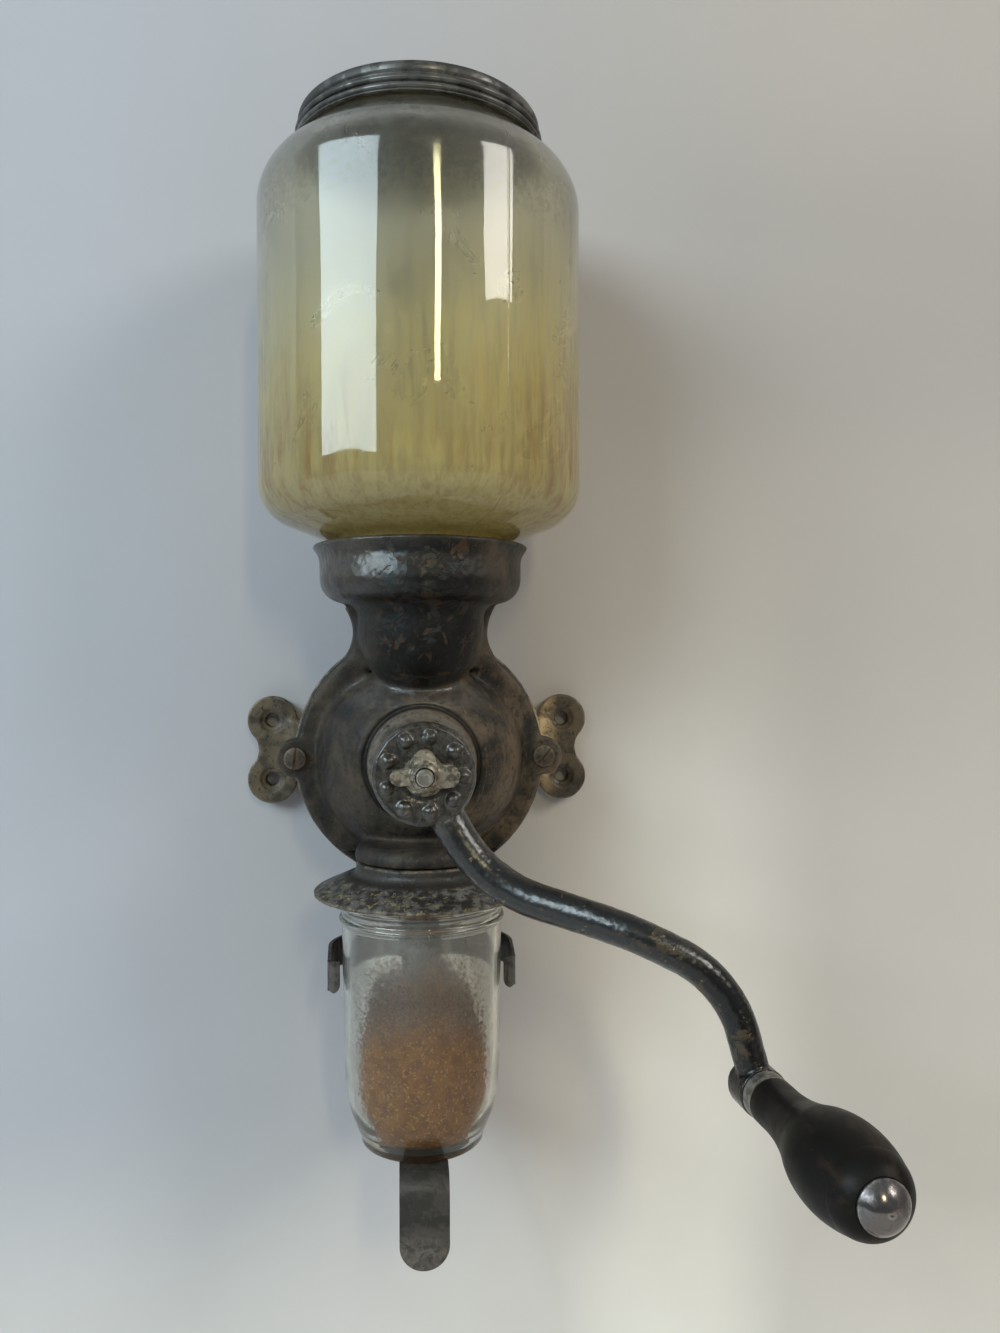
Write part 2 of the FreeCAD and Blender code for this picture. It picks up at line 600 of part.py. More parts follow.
def back_housing():
    """Back casting: pan, rear bearing boss, ears, neck plate, collar and cup lid flange."""
    rim_y = SPLIT_Y + PAN_RIM_T
    pan = turned_level((0, SPLIT_Y), [
        (PAN_R, SPLIT_Y), (PAN_R, rim_y - 1.0), (PAN_R - 1.0, rim_y), (PAN_BACK_R + 1.5, rim_y + 0.5),
        (PAN_BACK_R, PAN_BACK_Y - 7.0),
        ((PAN_BACK_R - 2.0, PAN_BACK_Y - 2.0), (PAN_BACK_R - 7.0, PAN_BACK_Y)),
        (REAR_BOSS_R + 2.0, PAN_BACK_Y), (REAR_BOSS_R, PAN_BACK_Y + 2.0), (REAR_BOSS_R, REAR_BOSS_Y - 1.0),
        (REAR_BOSS_R - 1.0, REAR_BOSS_Y), (0, REAR_BOSS_Y)])
    collar_end = SEAM_Z - 3.2
    root_z = FLANGE_BOTTOM_Z + FLANGE_EDGE_T + FLANGE_RISE
    edge_z = FLANGE_BOTTOM_Z + FLANGE_EDGE_T
    flange = turned_upright((0, SEAM_Z), [
        (0, FLANGE_BOTTOM_Z), (FLANGE_R - 0.8, FLANGE_BOTTOM_Z), (FLANGE_R, FLANGE_BOTTOM_Z + 0.8),
        (FLANGE_R, edge_z - 0.5), (FLANGE_R - 0.6, edge_z),
        (COLLAR_R + 3.0, root_z),
        ((COLLAR_R + 0.9, root_z + 0.8), (COLLAR_R, collar_end)), (COLLAR_R, SEAM_Z)], JAR_Y)
    ear = right_ear()
    pads = [rod_y(STRAP_HEAD_R, PAN_BACK_Y - 0.5, STRAP_Y - 1.2, side * STRAP_SCREW_X, STRAP_SCREW_Z)
            for side in (-1, 1)]
    rib = block(-STRAP_W / 2, STRAP_W / 2, PAN_BACK_Y - 0.5, STRAP_Y - SEAT_GAP,
                STRAP_SCREW_Z - 1.5, STRAP_SCREW_Z + 1.5)
    body = fuse(pan, flange, ear, ear.mirror(V(0, 0, 0), X_AXIS), rib, *pads,
                neck_flank(NECK_PLATE_W, SOCKET_UNDER_Z - SEAT_GAP, SPLIT_Y, rim_y),
                rod_y(LUG_R, SPLIT_Y, SPLIT_Y + 12.0, LUG_X), rod_y(LUG_R, SPLIT_Y, SPLIT_Y + 12.0, -LUG_X))
    wide = 2 * JAR_R
    hollows = [block(-wide, wide, -wide, 0, FLANGE_BOTTOM_Z - wide, FLANGE_BOTTOM_Z),
               rod_y(PAN_IN_R, SPLIT_Y, PAN_FLOOR_Y), chute(),
               rod_y(BUSH_R, PAN_FLOOR_Y, BUSH_END_Y)]
    for side in (-1, 1):
        hollows.append(rod_y(HOUSING_SCREW_R + RUNNING_FIT, SPLIT_Y, SPLIT_Y + 10.0, side * LUG_X))
        hollows.append(rod_y(STRAP_SCREW_R + RUNNING_FIT, STRAP_Y, PAN_FLOOR_Y + 0.8, side * STRAP_SCREW_X,
                             STRAP_SCREW_Z))
    return cut(body, *hollows)


def slotted_screw(shank_r, length, head_r, head_h, slot_w, slot_depth, slot_turn):
    """Fillister-head screw along -Z from its seat at the origin, the head above."""
    crown = head_h * 0.3
    body = turned_upright((0, -length), [
        (shank_r - 0.4, -length), (shank_r, -length + 0.6), (shank_r, 0), (head_r, 0),
        (head_r, head_h - crown), dome_step(head_r, head_h - crown, crown)])
    slot = Part.makeBox(3 * head_r, slot_w, slot_depth + 1,
                        V(-1.5 * head_r, -slot_w / 2, head_h - slot_depth))
    slot.rotate(V(0, 0, 0), Z_AXIS, slot_turn)
    return body.cut(slot)


def placed(shape, base, direction, turn=0.0):
    """Copy of a shape built along +Z, turned about that axis, then laid along a direction."""
    copy = shape.copy()
    copy.rotate(V(0, 0, 0), Z_AXIS, turn)
    copy.Placement = FreeCAD.Placement(base, FreeCAD.Rotation(Z_AXIS, direction)).multiply(copy.Placement)
    return copy


def housing_screws():
    """Two slotted screws through the side lugs."""
    screw = slotted_screw(HOUSING_SCREW_R, HOUSING_SCREW_LEN, FILLISTER_R, FILLISTER_H, SLOT_W,
                          SLOT_DEPTH, 0)
    seat_y = RIM_FACE_Y - 0.6
    left = placed(screw, V(-LUG_X, seat_y, 0), -Y_AXIS, 82)
    right = placed(screw, V(LUG_X, seat_y, 0), -Y_AXIS, 48)
    return Part.makeCompound([left, right])


def outer_burr():
    """Fixed burr ring with slanted grooves in its back face and three countersunk holes."""
    ring = rod_y(OUTER_BURR_R, OUTER_BURR_FRONT_Y, OUTER_BURR_BACK_Y)
    tools = [rod_y(BURR_EYE_R, OUTER_BURR_FRONT_Y - 1, OUTER_BURR_BACK_Y + 1)]
    tools += burr_grooves(OUTER_BURR_BACK_Y, 1, BURR_EYE_R - 2.0, INNER_BURR_R - 2.5)
    for x, z in burr_screw_places():
        tools.append(rod_y(BURR_SCREW_R + RUNNING_FIT, OUTER_BURR_FRONT_Y - 1, OUTER_BURR_BACK_Y + 1, x, z))
        tools.append(rod_y(BURR_SCREW_HEAD_R + RUNNING_FIT, OUTER_BURR_BACK_Y - 1.5,
                           OUTER_BURR_BACK_Y + 1, x, z))
    return cut(ring, *tools)


def burr_grooves(face_y, side, r_from, r_to):
    """Cutting tools for a burr face; side is +1 where the face looks back, -1 where it looks forward."""
    grooves = []
    for k in range(GROOVE_COUNT):
        groove = Part.makeBox(r_to - r_from, 2 * GROOVE_DEPTH, GROOVE_W,
                              V(r_from, face_y - GROOVE_DEPTH, -GROOVE_W / 2))
        groove.rotate(V((r_from + r_to) / 2, face_y, 0), Y_AXIS, side * GROOVE_SLANT)
        groove.rotate(V(0, 0, 0), Y_AXIS, 360.0 * k / GROOVE_COUNT)
        grooves.append(groove)
    return grooves


def burr_screws():
    """Screws of the fixed burr, heads let into its face."""
    screws = []
    for x, z in burr_screw_places():
        screw = slotted_screw(BURR_SCREW_R, BURR_SCREW_LEN - 1.5, BURR_SCREW_HEAD_R, 1.4, 0.5, 0.5, 0)
        screws.append(placed(screw, V(x, OUTER_BURR_BACK_Y - 1.5, z), Y_AXIS))
    return Part.makeCompound(screws)


INNER_FACE_Y = OUTER_BURR_BACK_Y + BURR_GAP
INNER_BACK_Y = INNER_FACE_Y + INNER_BURR_T
INNER_HUB_Y = INNER_BACK_Y + INNER_BURR_HUB_T
PIN_Y = INNER_BACK_Y + INNER_BURR_HUB_T / 2


def inner_burr():
    """Turning burr: grooved disc with a hub that is pinned to the spindle."""
    disc = turned_level((BORE_R, INNER_FACE_Y), [
        (INNER_BURR_R, INNER_FACE_Y), (INNER_BURR_R, INNER_BACK_Y - 2.0),
        (INNER_BURR_HUB_R + 3.0, INNER_BACK_Y), (INNER_BURR_HUB_R, INNER_BACK_Y + 2.0),
        (INNER_BURR_HUB_R, INNER_HUB_Y), (BORE_R, INNER_HUB_Y)])
    tools = burr_grooves(INNER_FACE_Y, -1, BURR_EYE_R - 1.0, INNER_BURR_R + 3.0)
    tools.append(Part.makeCylinder(PIN_R + RUNNING_FIT, 4 * INNER_BURR_HUB_R,
                                   V(-2 * INNER_BURR_HUB_R, PIN_Y, 0), X_AXIS))
    return cut(disc, *tools)


def burr_pin():
    """Cross pin through the inner burr's hub and the spindle."""
    length = 2 * INNER_BURR_HUB_R - 1.0
    return Part.makeCylinder(PIN_R, length, V(-length / 2, PIN_Y, 0), X_AXIS)


WORM_BACK_Y = INNER_FACE_Y - 1.0
WORM_FRONT_Y = WORM_BACK_Y - WORM_LEN


def feed_worm():
    """Sleeve on the spindle with one turn of fin that draws beans into the burrs."""
    rise = WORM_LEN - WORM_FIN_T - 1.0
    helix = Part.makeHelix(rise, rise, WORM_ROOT_R)
    half = WORM_FIN_T / 2
    inner = WORM_ROOT_R - 1.5
    points = [V(inner, 0, -half), V(WORM_R, 0, -half * 0.5), V(WORM_R, 0, half * 0.5), V(inner, 0, half),
              V(inner, 0, -half)]
    fin = Part.Wire(helix.Edges).makePipeShell([Part.makePolygon(points)], True, True)
    fin = placed(fin, V(0, WORM_FRONT_Y + half + 0.5, 0), Y_AXIS)
    sleeve = rod_y(WORM_ROOT_R, WORM_FRONT_Y, WORM_BACK_Y)
    return cut(fuse(sleeve, fin), rod_y(BORE_R, WORM_FRONT_Y - 1, WORM_BACK_Y + 1))


SLEEVE_BACK_Y = THRUST_Y - WASHER_T - SEAT_GAP
HUB_BACK_Y = SLEEVE_BACK_Y - HUB_STANDOFF
HUB_FACE_Y = HUB_BACK_Y - HUB_T
NUT_BACK_Y = HUB_FACE_Y - SEAT_GAP
NUT_FACE_Y = NUT_BACK_Y - NUT_H
SHOULDER_Y = HUB_FACE_Y + 3.0
NUT_TRAVEL = 1.5
SPINDLE_REAR_Y = BUSH_END_Y - NUT_TRAVEL - 1.0


def thrust_washer():
    """Washer between the boss and the crank's sleeve."""
    return cut(rod_y(WASHER_R, THRUST_Y, THRUST_Y - WASHER_T),
               rod_y(BORE_R + LOOSE_FIT, THRUST_Y + 1, THRUST_Y - WASHER_T - 1))


def rear_bushing():
    """Plain bush that carries the spindle's rear end."""
    return cut(rod_y(BUSH_R, PAN_FLOOR_Y + 0.2, BUSH_END_Y - 0.2),
               rod_y(BORE_R, PAN_FLOOR_Y - 1, BUSH_END_Y + 1))


def spindle():
    """Shaft with two flats for the crank, a threaded stud end and a pin hole."""
    shaft = rod_y(SPINDLE_R, SPINDLE_REAR_Y, SHOULDER_Y)
    stud = turned_level((0, SHOULDER_Y + 1), [
        (STUD_R, SHOULDER_Y + 1), (STUD_R, NUT_FACE_Y - STUD_SHOWING + BEVEL),
        (STUD_R - BEVEL, NUT_FACE_Y - STUD_SHOWING), (0, NUT_FACE_Y - STUD_SHOWING)])
    flats = [block(SPINDLE_FLAT, 2 * SPINDLE_R, SHOULDER_Y - 1, SLEEVE_BACK_Y, -SPINDLE_R, SPINDLE_R),
             block(-2 * SPINDLE_R, -SPINDLE_FLAT, SHOULDER_Y - 1, SLEEVE_BACK_Y, -SPINDLE_R, SPINDLE_R)]
    pin_hole = Part.makeCylinder(PIN_R + RUNNING_FIT, 4 * SPINDLE_R, V(-2 * SPINDLE_R, PIN_Y, 0), X_AXIS)
    return cut(fuse(shaft.cut(flats), stud), pin_hole)


# Crank and grip
ARM_POINTS = [ARM_START, ARM_BEND, ARM_KNEE, ARM_ELBOW, ARM_END]
RADIAL = V(ARM_END.x, 0, ARM_END.z).normalize()
TURNING = V(-RADIAL.z, 0, RADIAL.x)
GRIP_AXIS = (TURNING * math.sin(math.radians(GRIP_LEAN)) - Y_AXIS * math.cos(math.radians(GRIP_LEAN)))


def rounded_path(points, radii):
    """Straight runs through the points, joined by tangent arcs of the given radii."""
    edges = []
    here = points[0]
    for i in range(1, len(points) - 1):
        back = (points[i - 1] - points[i]).normalize()
        ahead = (points[i + 1] - points[i]).normalize()
        half = back.getAngle(ahead) / 2
        reach = radii[i - 1] / math.tan(half)
        start = points[i] + back * reach
        end = points[i] + ahead * reach
        inward = (back + ahead).normalize()
        middle = points[i] + inward * (radii[i - 1] / math.sin(half) - radii[i - 1])
        edges.append(Part.LineSegment(here, start).toShape())
        edges.append(Part.Arc(start, middle, end).toShape())
        here = end
    edges.append(Part.LineSegment(here, points[-1]).toShape())
    return Part.Wire(edges)


def ring_wire(radius, centre, direction):
    """Circle as a wire."""
    return Part.Wire([Part.makeCircle(radius, centre, direction)])


def crank_arm():
    """Crank: sleeve and bumped hub disc, tapering bent arm and the eye for the grip."""
    path = rounded_path(ARM_POINTS, ARM_RADII)
    sweep = Part.BRepOffsetAPI.MakePipeShell(path)
    sweep.setFrenetMode(False)
    sweep.add(ring_wire(ARM_ROOT_R, ARM_START, ARM_BEND - ARM_START))
    sweep.add(ring_wire(ARM_END_R, ARM_END, ARM_END - ARM_ELBOW))
    sweep.build()
    sweep.makeSolid()
    arm = sweep.shape()
    hub = turned_level((0, SLEEVE_BACK_Y), [
        (SLEEVE_R - BEVEL, SLEEVE_BACK_Y), (SLEEVE_R, SLEEVE_BACK_Y - BEVEL), (SLEEVE_R, HUB_BACK_Y + 2.5),
        ((SLEEVE_R + 0.9, HUB_BACK_Y + 0.8), (SLEEVE_R + 3.0, HUB_BACK_Y)), (HUB_R - 1.2, HUB_BACK_Y),
        (HUB_R, HUB_BACK_Y - 1.2), (HUB_R, HUB_FACE_Y + 1.2), (HUB_R - 1.2, HUB_FACE_Y), (0, HUB_FACE_Y)])
    bumps = []
    for k in range(BUMP_COUNT):
        x, z = on_arc((0, 0), BUMP_CIRCLE_R, -BUMP_FIRST - 360.0 * k / BUMP_COUNT)
        bumps.append(Part.makeSphere(BUMP_R, V(x, HUB_FACE_Y + BUMP_R - BUMP_H, z)))
    eye = Part.makeCylinder(EYE_R, EYE_T, ARM_END - GRIP_AXIS * (EYE_T / 2), GRIP_AXIS)
    body = fuse(hub, arm, eye, *bumps)
    bore = rod_y(BORE_R, SLEEVE_BACK_Y + 1, SHOULDER_Y - 1)
    keep = block(-SPINDLE_FLAT - RUNNING_FIT, SPINDLE_FLAT + RUNNING_FIT, SHOULDER_Y - 2, SLEEVE_BACK_Y + 2,
                 -2 * SPINDLE_R, 2 * SPINDLE_R)
    rivet_hole = Part.makeCylinder(RIVET_R + RUNNING_FIT, 4 * EYE_T,
                                   ARM_END - GRIP_AXIS * (2 * EYE_T), GRIP_AXIS)
    return cut(body, bore.common(keep), rod_y(STUD_R + LOOSE_FIT, SLEEVE_BACK_Y, HUB_FACE_Y - 2), rivet_hole)


def adjusting_nut():
    """Thumb nut: tapered body with a wing on each side and a short one above."""
    body = turned_level((0, NUT_BACK_Y), [
        (NUT_BODY_R, NUT_BACK_Y), (NUT_BODY_R, NUT_BACK_Y - 2.5), (NUT_BODY_R * 0.62, NUT_FACE_Y + 0.8),
        (NUT_BODY_R * 0.5, NUT_FACE_Y), (0, NUT_FACE_Y)])
    wings = []
    lobe_face = NUT_BACK_Y - NUT_LOBE_T
    for degrees, reach, half in NUT_LOBES:
        wing = rod_y(half, NUT_BACK_Y, lobe_face, reach - half)
        root = block(0, reach - half, lobe_face, NUT_BACK_Y, -half, half)
        wing = wing.fuse(root)
        wing.rotate(V(0, 0, 0), Y_AXIS, -degrees)
        wings.append(wing)
    return cut(fuse(body, *wings), rod_y(STUD_R + RUNNING_FIT, NUT_BACK_Y + 1, NUT_FACE_Y - 1))


GRIP_START = EYE_T / 2 + SEAT_GAP


def grip():
    """Turned wooden grip, slim at the ferrule and round at the end."""
    bore = RIVET_R + LOOSE_FIT
    neck_r = GRIP_BASE_R + FERRULE_T
    steps = [(GRIP_BASE_R, 0), (GRIP_BASE_R, FERRULE_LEN), (neck_r, FERRULE_LEN),
             (neck_r, FERRULE_LEN + 3.0),
             ((GRIP_WAIST_R, GRIP_WAIST_AT), (GRIP_BULB_R - 1.8, GRIP_BULB_AT - 14.0)),
             ((GRIP_BULB_R, GRIP_BULB_AT), (GRIP_BULB_R - 2.0, GRIP_BULB_AT + 12.5)),
             ((GRIP_BULB_R - 4.0, GRIP_LEN - 2.2), (GRIP_END_R, GRIP_LEN)), (bore, GRIP_LEN)]
    wood = turned_upright((bore, 0), steps)
    return placed(wood, ARM_END + GRIP_AXIS * GRIP_START, GRIP_AXIS)


def grip_ferrule():
    """Metal band round the grip's base."""
    band = turned_upright((GRIP_BASE_R, 0), [
        (GRIP_BASE_R + FERRULE_T, 0), (GRIP_BASE_R + FERRULE_T, FERRULE_LEN), (GRIP_BASE_R, FERRULE_LEN)])
    return placed(band, ARM_END + GRIP_AXIS * GRIP_START, GRIP_AXIS)


def grip_rivet():
    """Long rivet that carries the grip: domed head, shank and clenched tail."""
    back = -EYE_T / 2 - SEAT_GAP * 0.2
    head = GRIP_START + GRIP_LEN + SEAT_GAP
    rivet = turned_upright((0, back - RIVET_TAIL_H), [
        (RIVET_TAIL_R * 0.6, back - RIVET_TAIL_H), (RIVET_TAIL_R, back), (RIVET_R, back), (RIVET_R, head),
        (RIVET_HEAD_R, head), (RIVET_HEAD_R, head + RIVET_RIM_T),
        dome_step(RIVET_HEAD_R, head + RIVET_RIM_T, RIVET_HEAD_H - RIVET_RIM_T)])
    return placed(rivet, ARM_END, GRIP_AXIS)


# Cup and its holder
CUP_TOP_Z = FLANGE_BOTTOM_Z - SEAT_GAP
CUP_BOTTOM_Z = CUP_TOP_Z - CUP_H
SHELF_Z = CUP_BOTTOM_Z - SEAT_GAP


def catch_cup():
    """Pressed glass cup: two beads at the rim, straight side, round shoulder and thick foot."""
    bead = (CUP_RIM_R - CUP_R)
    steps = [(CUP_FOOT_R, CUP_BOTTOM_Z), (CUP_FOOT_R + 0.4, CUP_BOTTOM_Z + 4.0),
             ((CUP_R - 2.1, CUP_BOTTOM_Z + CUP_SHOULDER_H * 0.5),
              (CUP_R - 0.3, CUP_BOTTOM_Z + CUP_SHOULDER_H)),
             (CUP_R + 0.5, CUP_TOP_Z - 2.6 * CUP_BEAD_PITCH)]
    low_z = CUP_TOP_Z - 1.7 * CUP_BEAD_PITCH
    steps += [(CUP_R + 0.5, low_z - bead), ((CUP_RIM_R, low_z), (CUP_R + 0.5, low_z + bead)),
              (CUP_R + 0.5, CUP_TOP_Z - 3.6), (CUP_RIM_R, CUP_TOP_Z - 2.6), (CUP_RIM_R, CUP_TOP_Z - 0.8),
              (CUP_RIM_R - 0.8, CUP_TOP_Z), (0, CUP_TOP_Z)]
    outer = turned_upright((0, CUP_BOTTOM_Z), steps, JAR_Y)
    in_r = CUP_R - CUP_WALL
    floor_z = CUP_BOTTOM_Z + CUP_FLOOR_T
    turn = CUP_SHOULDER_H * 0.55
    hollow = turned_upright((0, floor_z), [
        (CUP_FOOT_R - 5.0, floor_z),
        ((in_r - 2.6, floor_z + turn * 0.4), (in_r - 0.3, floor_z + turn * 1.35)),
        (in_r + 0.5, CUP_TOP_Z - 1.0), (in_r + 1.3, CUP_TOP_Z + 0.5), (0, CUP_TOP_Z + 0.5)], JAR_Y)
    return outer.cut(hollow)


def holder_strap():
    """Flat spring: upright behind the cup, shelf under it and thumb tab in front."""
    back = STRAP_Y + STRAP_T
    low = SHELF_Z - STRAP_T
    tab_back = TAB_Y + STRAP_T
    end_z = SHELF_Z - TAB_DROP
    inner = STRAP_BEND_R
    outer = STRAP_BEND_R + STRAP_T
    rear = (STRAP_Y - inner, SHELF_Z + inner)
    front = (tab_back + inner, low - inner)
    half = STRAP_W / 2
    steps = [(STRAP_Y, rear[1]), arc_step(rear, inner, 0, -90), (front[0], SHELF_Z),
             arc_step(front, outer, 90, 180), (TAB_Y, end_z + half), (tab_back, end_z + half),
             (tab_back, front[1]), arc_step(front, inner, 180, 90), (rear[0], low),
             arc_step(rear, outer, -90, 0), (back, STRAP_TOP_Z)]
    strap = slab_yz((STRAP_Y, STRAP_TOP_Z), steps, half)
    tab_end = rod_y(half, TAB_Y, tab_back, 0, end_z + half)
    holes = [rod_y(STRAP_SCREW_R + LOOSE_FIT, STRAP_Y - 1, back + 1, side * STRAP_SCREW_X, STRAP_SCREW_Z)
             for side in (-1, 1)]
    rivet_z = BAND_TOP_Z - BAND_W / 2
    holes += [rod_y(HOLDER_RIVET_R + RUNNING_FIT, STRAP_Y - 1, back + 1, side * HOLDER_RIVET_X, rivet_z)
              for side in (-1, 1)]
    return cut(fuse(strap, tab_end), *holes)


def tip_corner(x, outward):
    """Cutter that rounds a lower corner of an arm's tip; outward is the side of the corner."""
    low = BAND_TOP_Z - BAND_W
    centre_x = x - outward * ARM_TIP_ROUND
    front = ARM_TIP_Y - 1.0
    back = ARM_TIP_Y + ARM_TIP_BEND_R + 1.0
    corner = block(min(x, centre_x) - 0.01, max(x, centre_x) + 0.01, front, back, low - 0.01,
                   low + ARM_TIP_ROUND)
    return corner.cut(rod_y(ARM_TIP_ROUND, front, back, centre_x, low + ARM_TIP_ROUND))


def holder_arms():
    """Band riveted to the strap, bent forward round both sides of the cup, with turned-in tips."""
    out_r = BAND_BEND_R
    in_r = BAND_BEND_R - BAND_T
    tip_in_r = ARM_TIP_BEND_R - BAND_T
    rear = (ARM_REAR_X - out_r, STRAP_Y - out_r)
    front = (ARM_FRONT_X - ARM_TIP_BEND_R, ARM_TIP_Y + ARM_TIP_BEND_R)
    bottom = BAND_TOP_Z - BAND_W
    steps = [(rear[0], STRAP_Y), arc_step(rear, out_r, 90, 0), (ARM_FRONT_X, front[1]),
             arc_step(front, ARM_TIP_BEND_R, 0, -90), (ARM_TIP_X, ARM_TIP_Y),
             (ARM_TIP_X, ARM_TIP_Y + BAND_T), (front[0], ARM_TIP_Y + BAND_T),
             arc_step(front, tip_in_r, -90, 0), (ARM_REAR_X - BAND_T, rear[1]),
             arc_step(rear, in_r, 0, 90), (0, STRAP_Y - BAND_T)]
    face = closed_face((0, STRAP_Y), steps, lambda x, y: V(x, y, bottom))
    right = face.extrude(V(0, 0, BAND_W))
    right = cut(right, tip_corner(ARM_TIP_X, -1), tip_corner(ARM_FRONT_X, 1))
    band = fuse(right, right.mirror(V(0, 0, 0), X_AXIS))
    holes = [rod_y(HOLDER_RIVET_R + RUNNING_FIT, STRAP_Y - 3, STRAP_Y + 3, side * HOLDER_RIVET_X,
                   bottom + BAND_W / 2) for side in (-1, 1)]
    return cut(band, *holes)


def holder_rivets():
    """Two rivets through band and strap."""
    z = BAND_TOP_Z - BAND_W / 2
    grip_len = BAND_T + STRAP_T
    h = HOLDER_RIVET_HEAD_H
    rivet = turned_upright((0, -h), [
        (HOLDER_RIVET_HEAD_R * 0.6, -h), (HOLDER_RIVET_HEAD_R, 0), (HOLDER_RIVET_R, 0),
        (HOLDER_RIVET_R, grip_len), (HOLDER_RIVET_HEAD_R, grip_len),
        (HOLDER_RIVET_HEAD_R * 0.6, grip_len + h), (0, grip_len + h)])
    return Part.makeCompound([placed(rivet, V(side * HOLDER_RIVET_X, STRAP_Y - BAND_T, z), Y_AXIS)
                              for side in (-1, 1)])


def strap_screws():
    """Two screws that hang the strap on the back casting."""
    seat_y = STRAP_Y + STRAP_T + STRAP_HEAD_GAP
    length = seat_y - (PAN_FLOOR_Y + 1.2)
    screw = slotted_screw(STRAP_SCREW_R, length, STRAP_HEAD_R, 2.0, 0.8, 0.9, 0)
    return Part.makeCompound([placed(screw, V(side * STRAP_SCREW_X, seat_y, STRAP_SCREW_Z), Y_AXIS,
                                     STRAP_SCREW_TURN * side) for side in (-1, 1)])


NODES = (hopper_jar, jar_gasket, jar_cap, cap_liner, front_housing, back_housing, housing_screws,
         outer_burr, burr_screws, inner_burr, burr_pin, feed_worm, spindle, rear_bushing, thrust_washer,
         crank_arm, adjusting_nut, grip, grip_ferrule, grip_rivet, catch_cup, holder_strap, holder_arms,
         holder_rivets, strap_screws)

for node in NODES:
    save(node.__name__, node())
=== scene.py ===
"""Looks of the wall-mounted coffee mill: glass hopper, worn castings, enamelled crank, cup and holder.

Metres, +Z up. The mill hangs on the wall plane y = 0 and faces -Y. Each sub-assembly is a class that
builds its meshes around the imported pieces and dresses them; each finish is a class of its own.
"""

import json
import logging
import math
from dataclasses import dataclass
from enum import Enum

import bmesh
import bpy
from mathutils import Matrix, Vector, noise

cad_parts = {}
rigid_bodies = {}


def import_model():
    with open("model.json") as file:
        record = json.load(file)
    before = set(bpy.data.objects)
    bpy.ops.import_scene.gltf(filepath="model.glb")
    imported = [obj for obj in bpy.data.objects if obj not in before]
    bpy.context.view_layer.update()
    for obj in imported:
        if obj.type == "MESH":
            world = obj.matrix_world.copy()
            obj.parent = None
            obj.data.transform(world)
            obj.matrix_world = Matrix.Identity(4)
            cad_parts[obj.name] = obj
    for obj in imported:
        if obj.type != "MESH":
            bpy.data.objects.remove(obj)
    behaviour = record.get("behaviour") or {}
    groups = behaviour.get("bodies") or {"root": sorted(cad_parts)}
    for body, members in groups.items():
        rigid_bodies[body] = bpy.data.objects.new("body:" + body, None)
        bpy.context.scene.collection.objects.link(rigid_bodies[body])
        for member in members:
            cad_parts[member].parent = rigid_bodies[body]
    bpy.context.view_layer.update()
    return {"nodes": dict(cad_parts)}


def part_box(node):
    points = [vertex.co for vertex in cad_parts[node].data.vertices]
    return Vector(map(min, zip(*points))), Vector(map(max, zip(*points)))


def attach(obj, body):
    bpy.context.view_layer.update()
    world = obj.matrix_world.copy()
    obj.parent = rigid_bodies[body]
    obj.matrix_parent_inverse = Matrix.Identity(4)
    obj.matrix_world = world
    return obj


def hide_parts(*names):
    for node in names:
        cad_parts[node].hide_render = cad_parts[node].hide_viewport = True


LOG = logging.getLogger("mill")
MM = 0.001
MERGE_GAP = 0.002 * MM
STAND_AXIS_Y = -63.8
GLASS_IOR = 1.5
CORNER_STEPS = 6
SWEEP_STEPS = 16

Triple = tuple[float, float, float]
Item = bpy.types.Object
Socket = bpy.types.NodeSocket
Nodes = dict[str, Item]
Outline = list[tuple[float, float]]
Rows = list[list[bmesh.types.BMVert]]


class Side(Enum):
    """Side of the camera's direction that a lamp stands on."""

    LEFT = -1.0
    RIGHT = 1.0


# Outlines and meshes. Their sizes are in millimetres.


def arc(centre: tuple[float, float], radius: float, first: float, last: float, count: int) -> Outline:
    """Points of an arc in a flat outline.

    Args:
        centre: middle of the arc.
        radius: radius of the arc.
        first: angle of the first point in degrees.
        last: angle of the last point in degrees.
        count: number of steps.

    Returns:
        The points, both ends included.
    """
    angles = [math.radians(first + (last - first) * step / count) for step in range(count + 1)]
    return [(centre[0] + radius * math.cos(angle), centre[1] + radius * math.sin(angle)) for angle in angles]


def smooth_line(points: Outline, per_span: int) -> Outline:
    """A smooth open curve through the points.

    Args:
        points: places that the curve passes.
        per_span: number of steps between two places.

    Returns:
        The finer outline.
    """
    padded = [points[0], *points, points[-1]]
    result = []
    for spots in zip(padded, padded[1:], padded[2:], padded[3:]):
        for step in range(per_span):
            t = step / per_span
            shares = (t * (t * (2 - t) - 1), 2 - t * t * (5 - 3 * t), t * (1 + t * (4 - 3 * t)),
                      t * t * (t - 1))
            result.append(tuple(sum(share * spot[k] for share, spot in zip(shares, spots)) / 2
                                for k in range(2)))
    return result + [points[-1]]


def cut_corner(before: tuple[float, float], corner: tuple[float, float], after: tuple[float, float],
               reach: float) -> Outline:
    """Curve that cuts a corner.

    Args:
        before: point before the corner.
        corner: the corner.
        after: point after the corner.
        reach: longest distance from the corner that is cut.

    Returns:
        The curve's points.
    """
    middle = Vector(corner)
    first = Vector(before) - middle
    last = Vector(after) - middle
    start = middle + first.normalized() * min(reach, first.length * 0.9)
    end = middle + last.normalized() * min(reach, last.length * 0.9)
    curve = []
    for step in range(CORNER_STEPS + 1):
        t = step / CORNER_STEPS
        curve.append(tuple(start * (1 - t) ** 2 + middle * 2 * t * (1 - t) + end * t * t))
    return curve


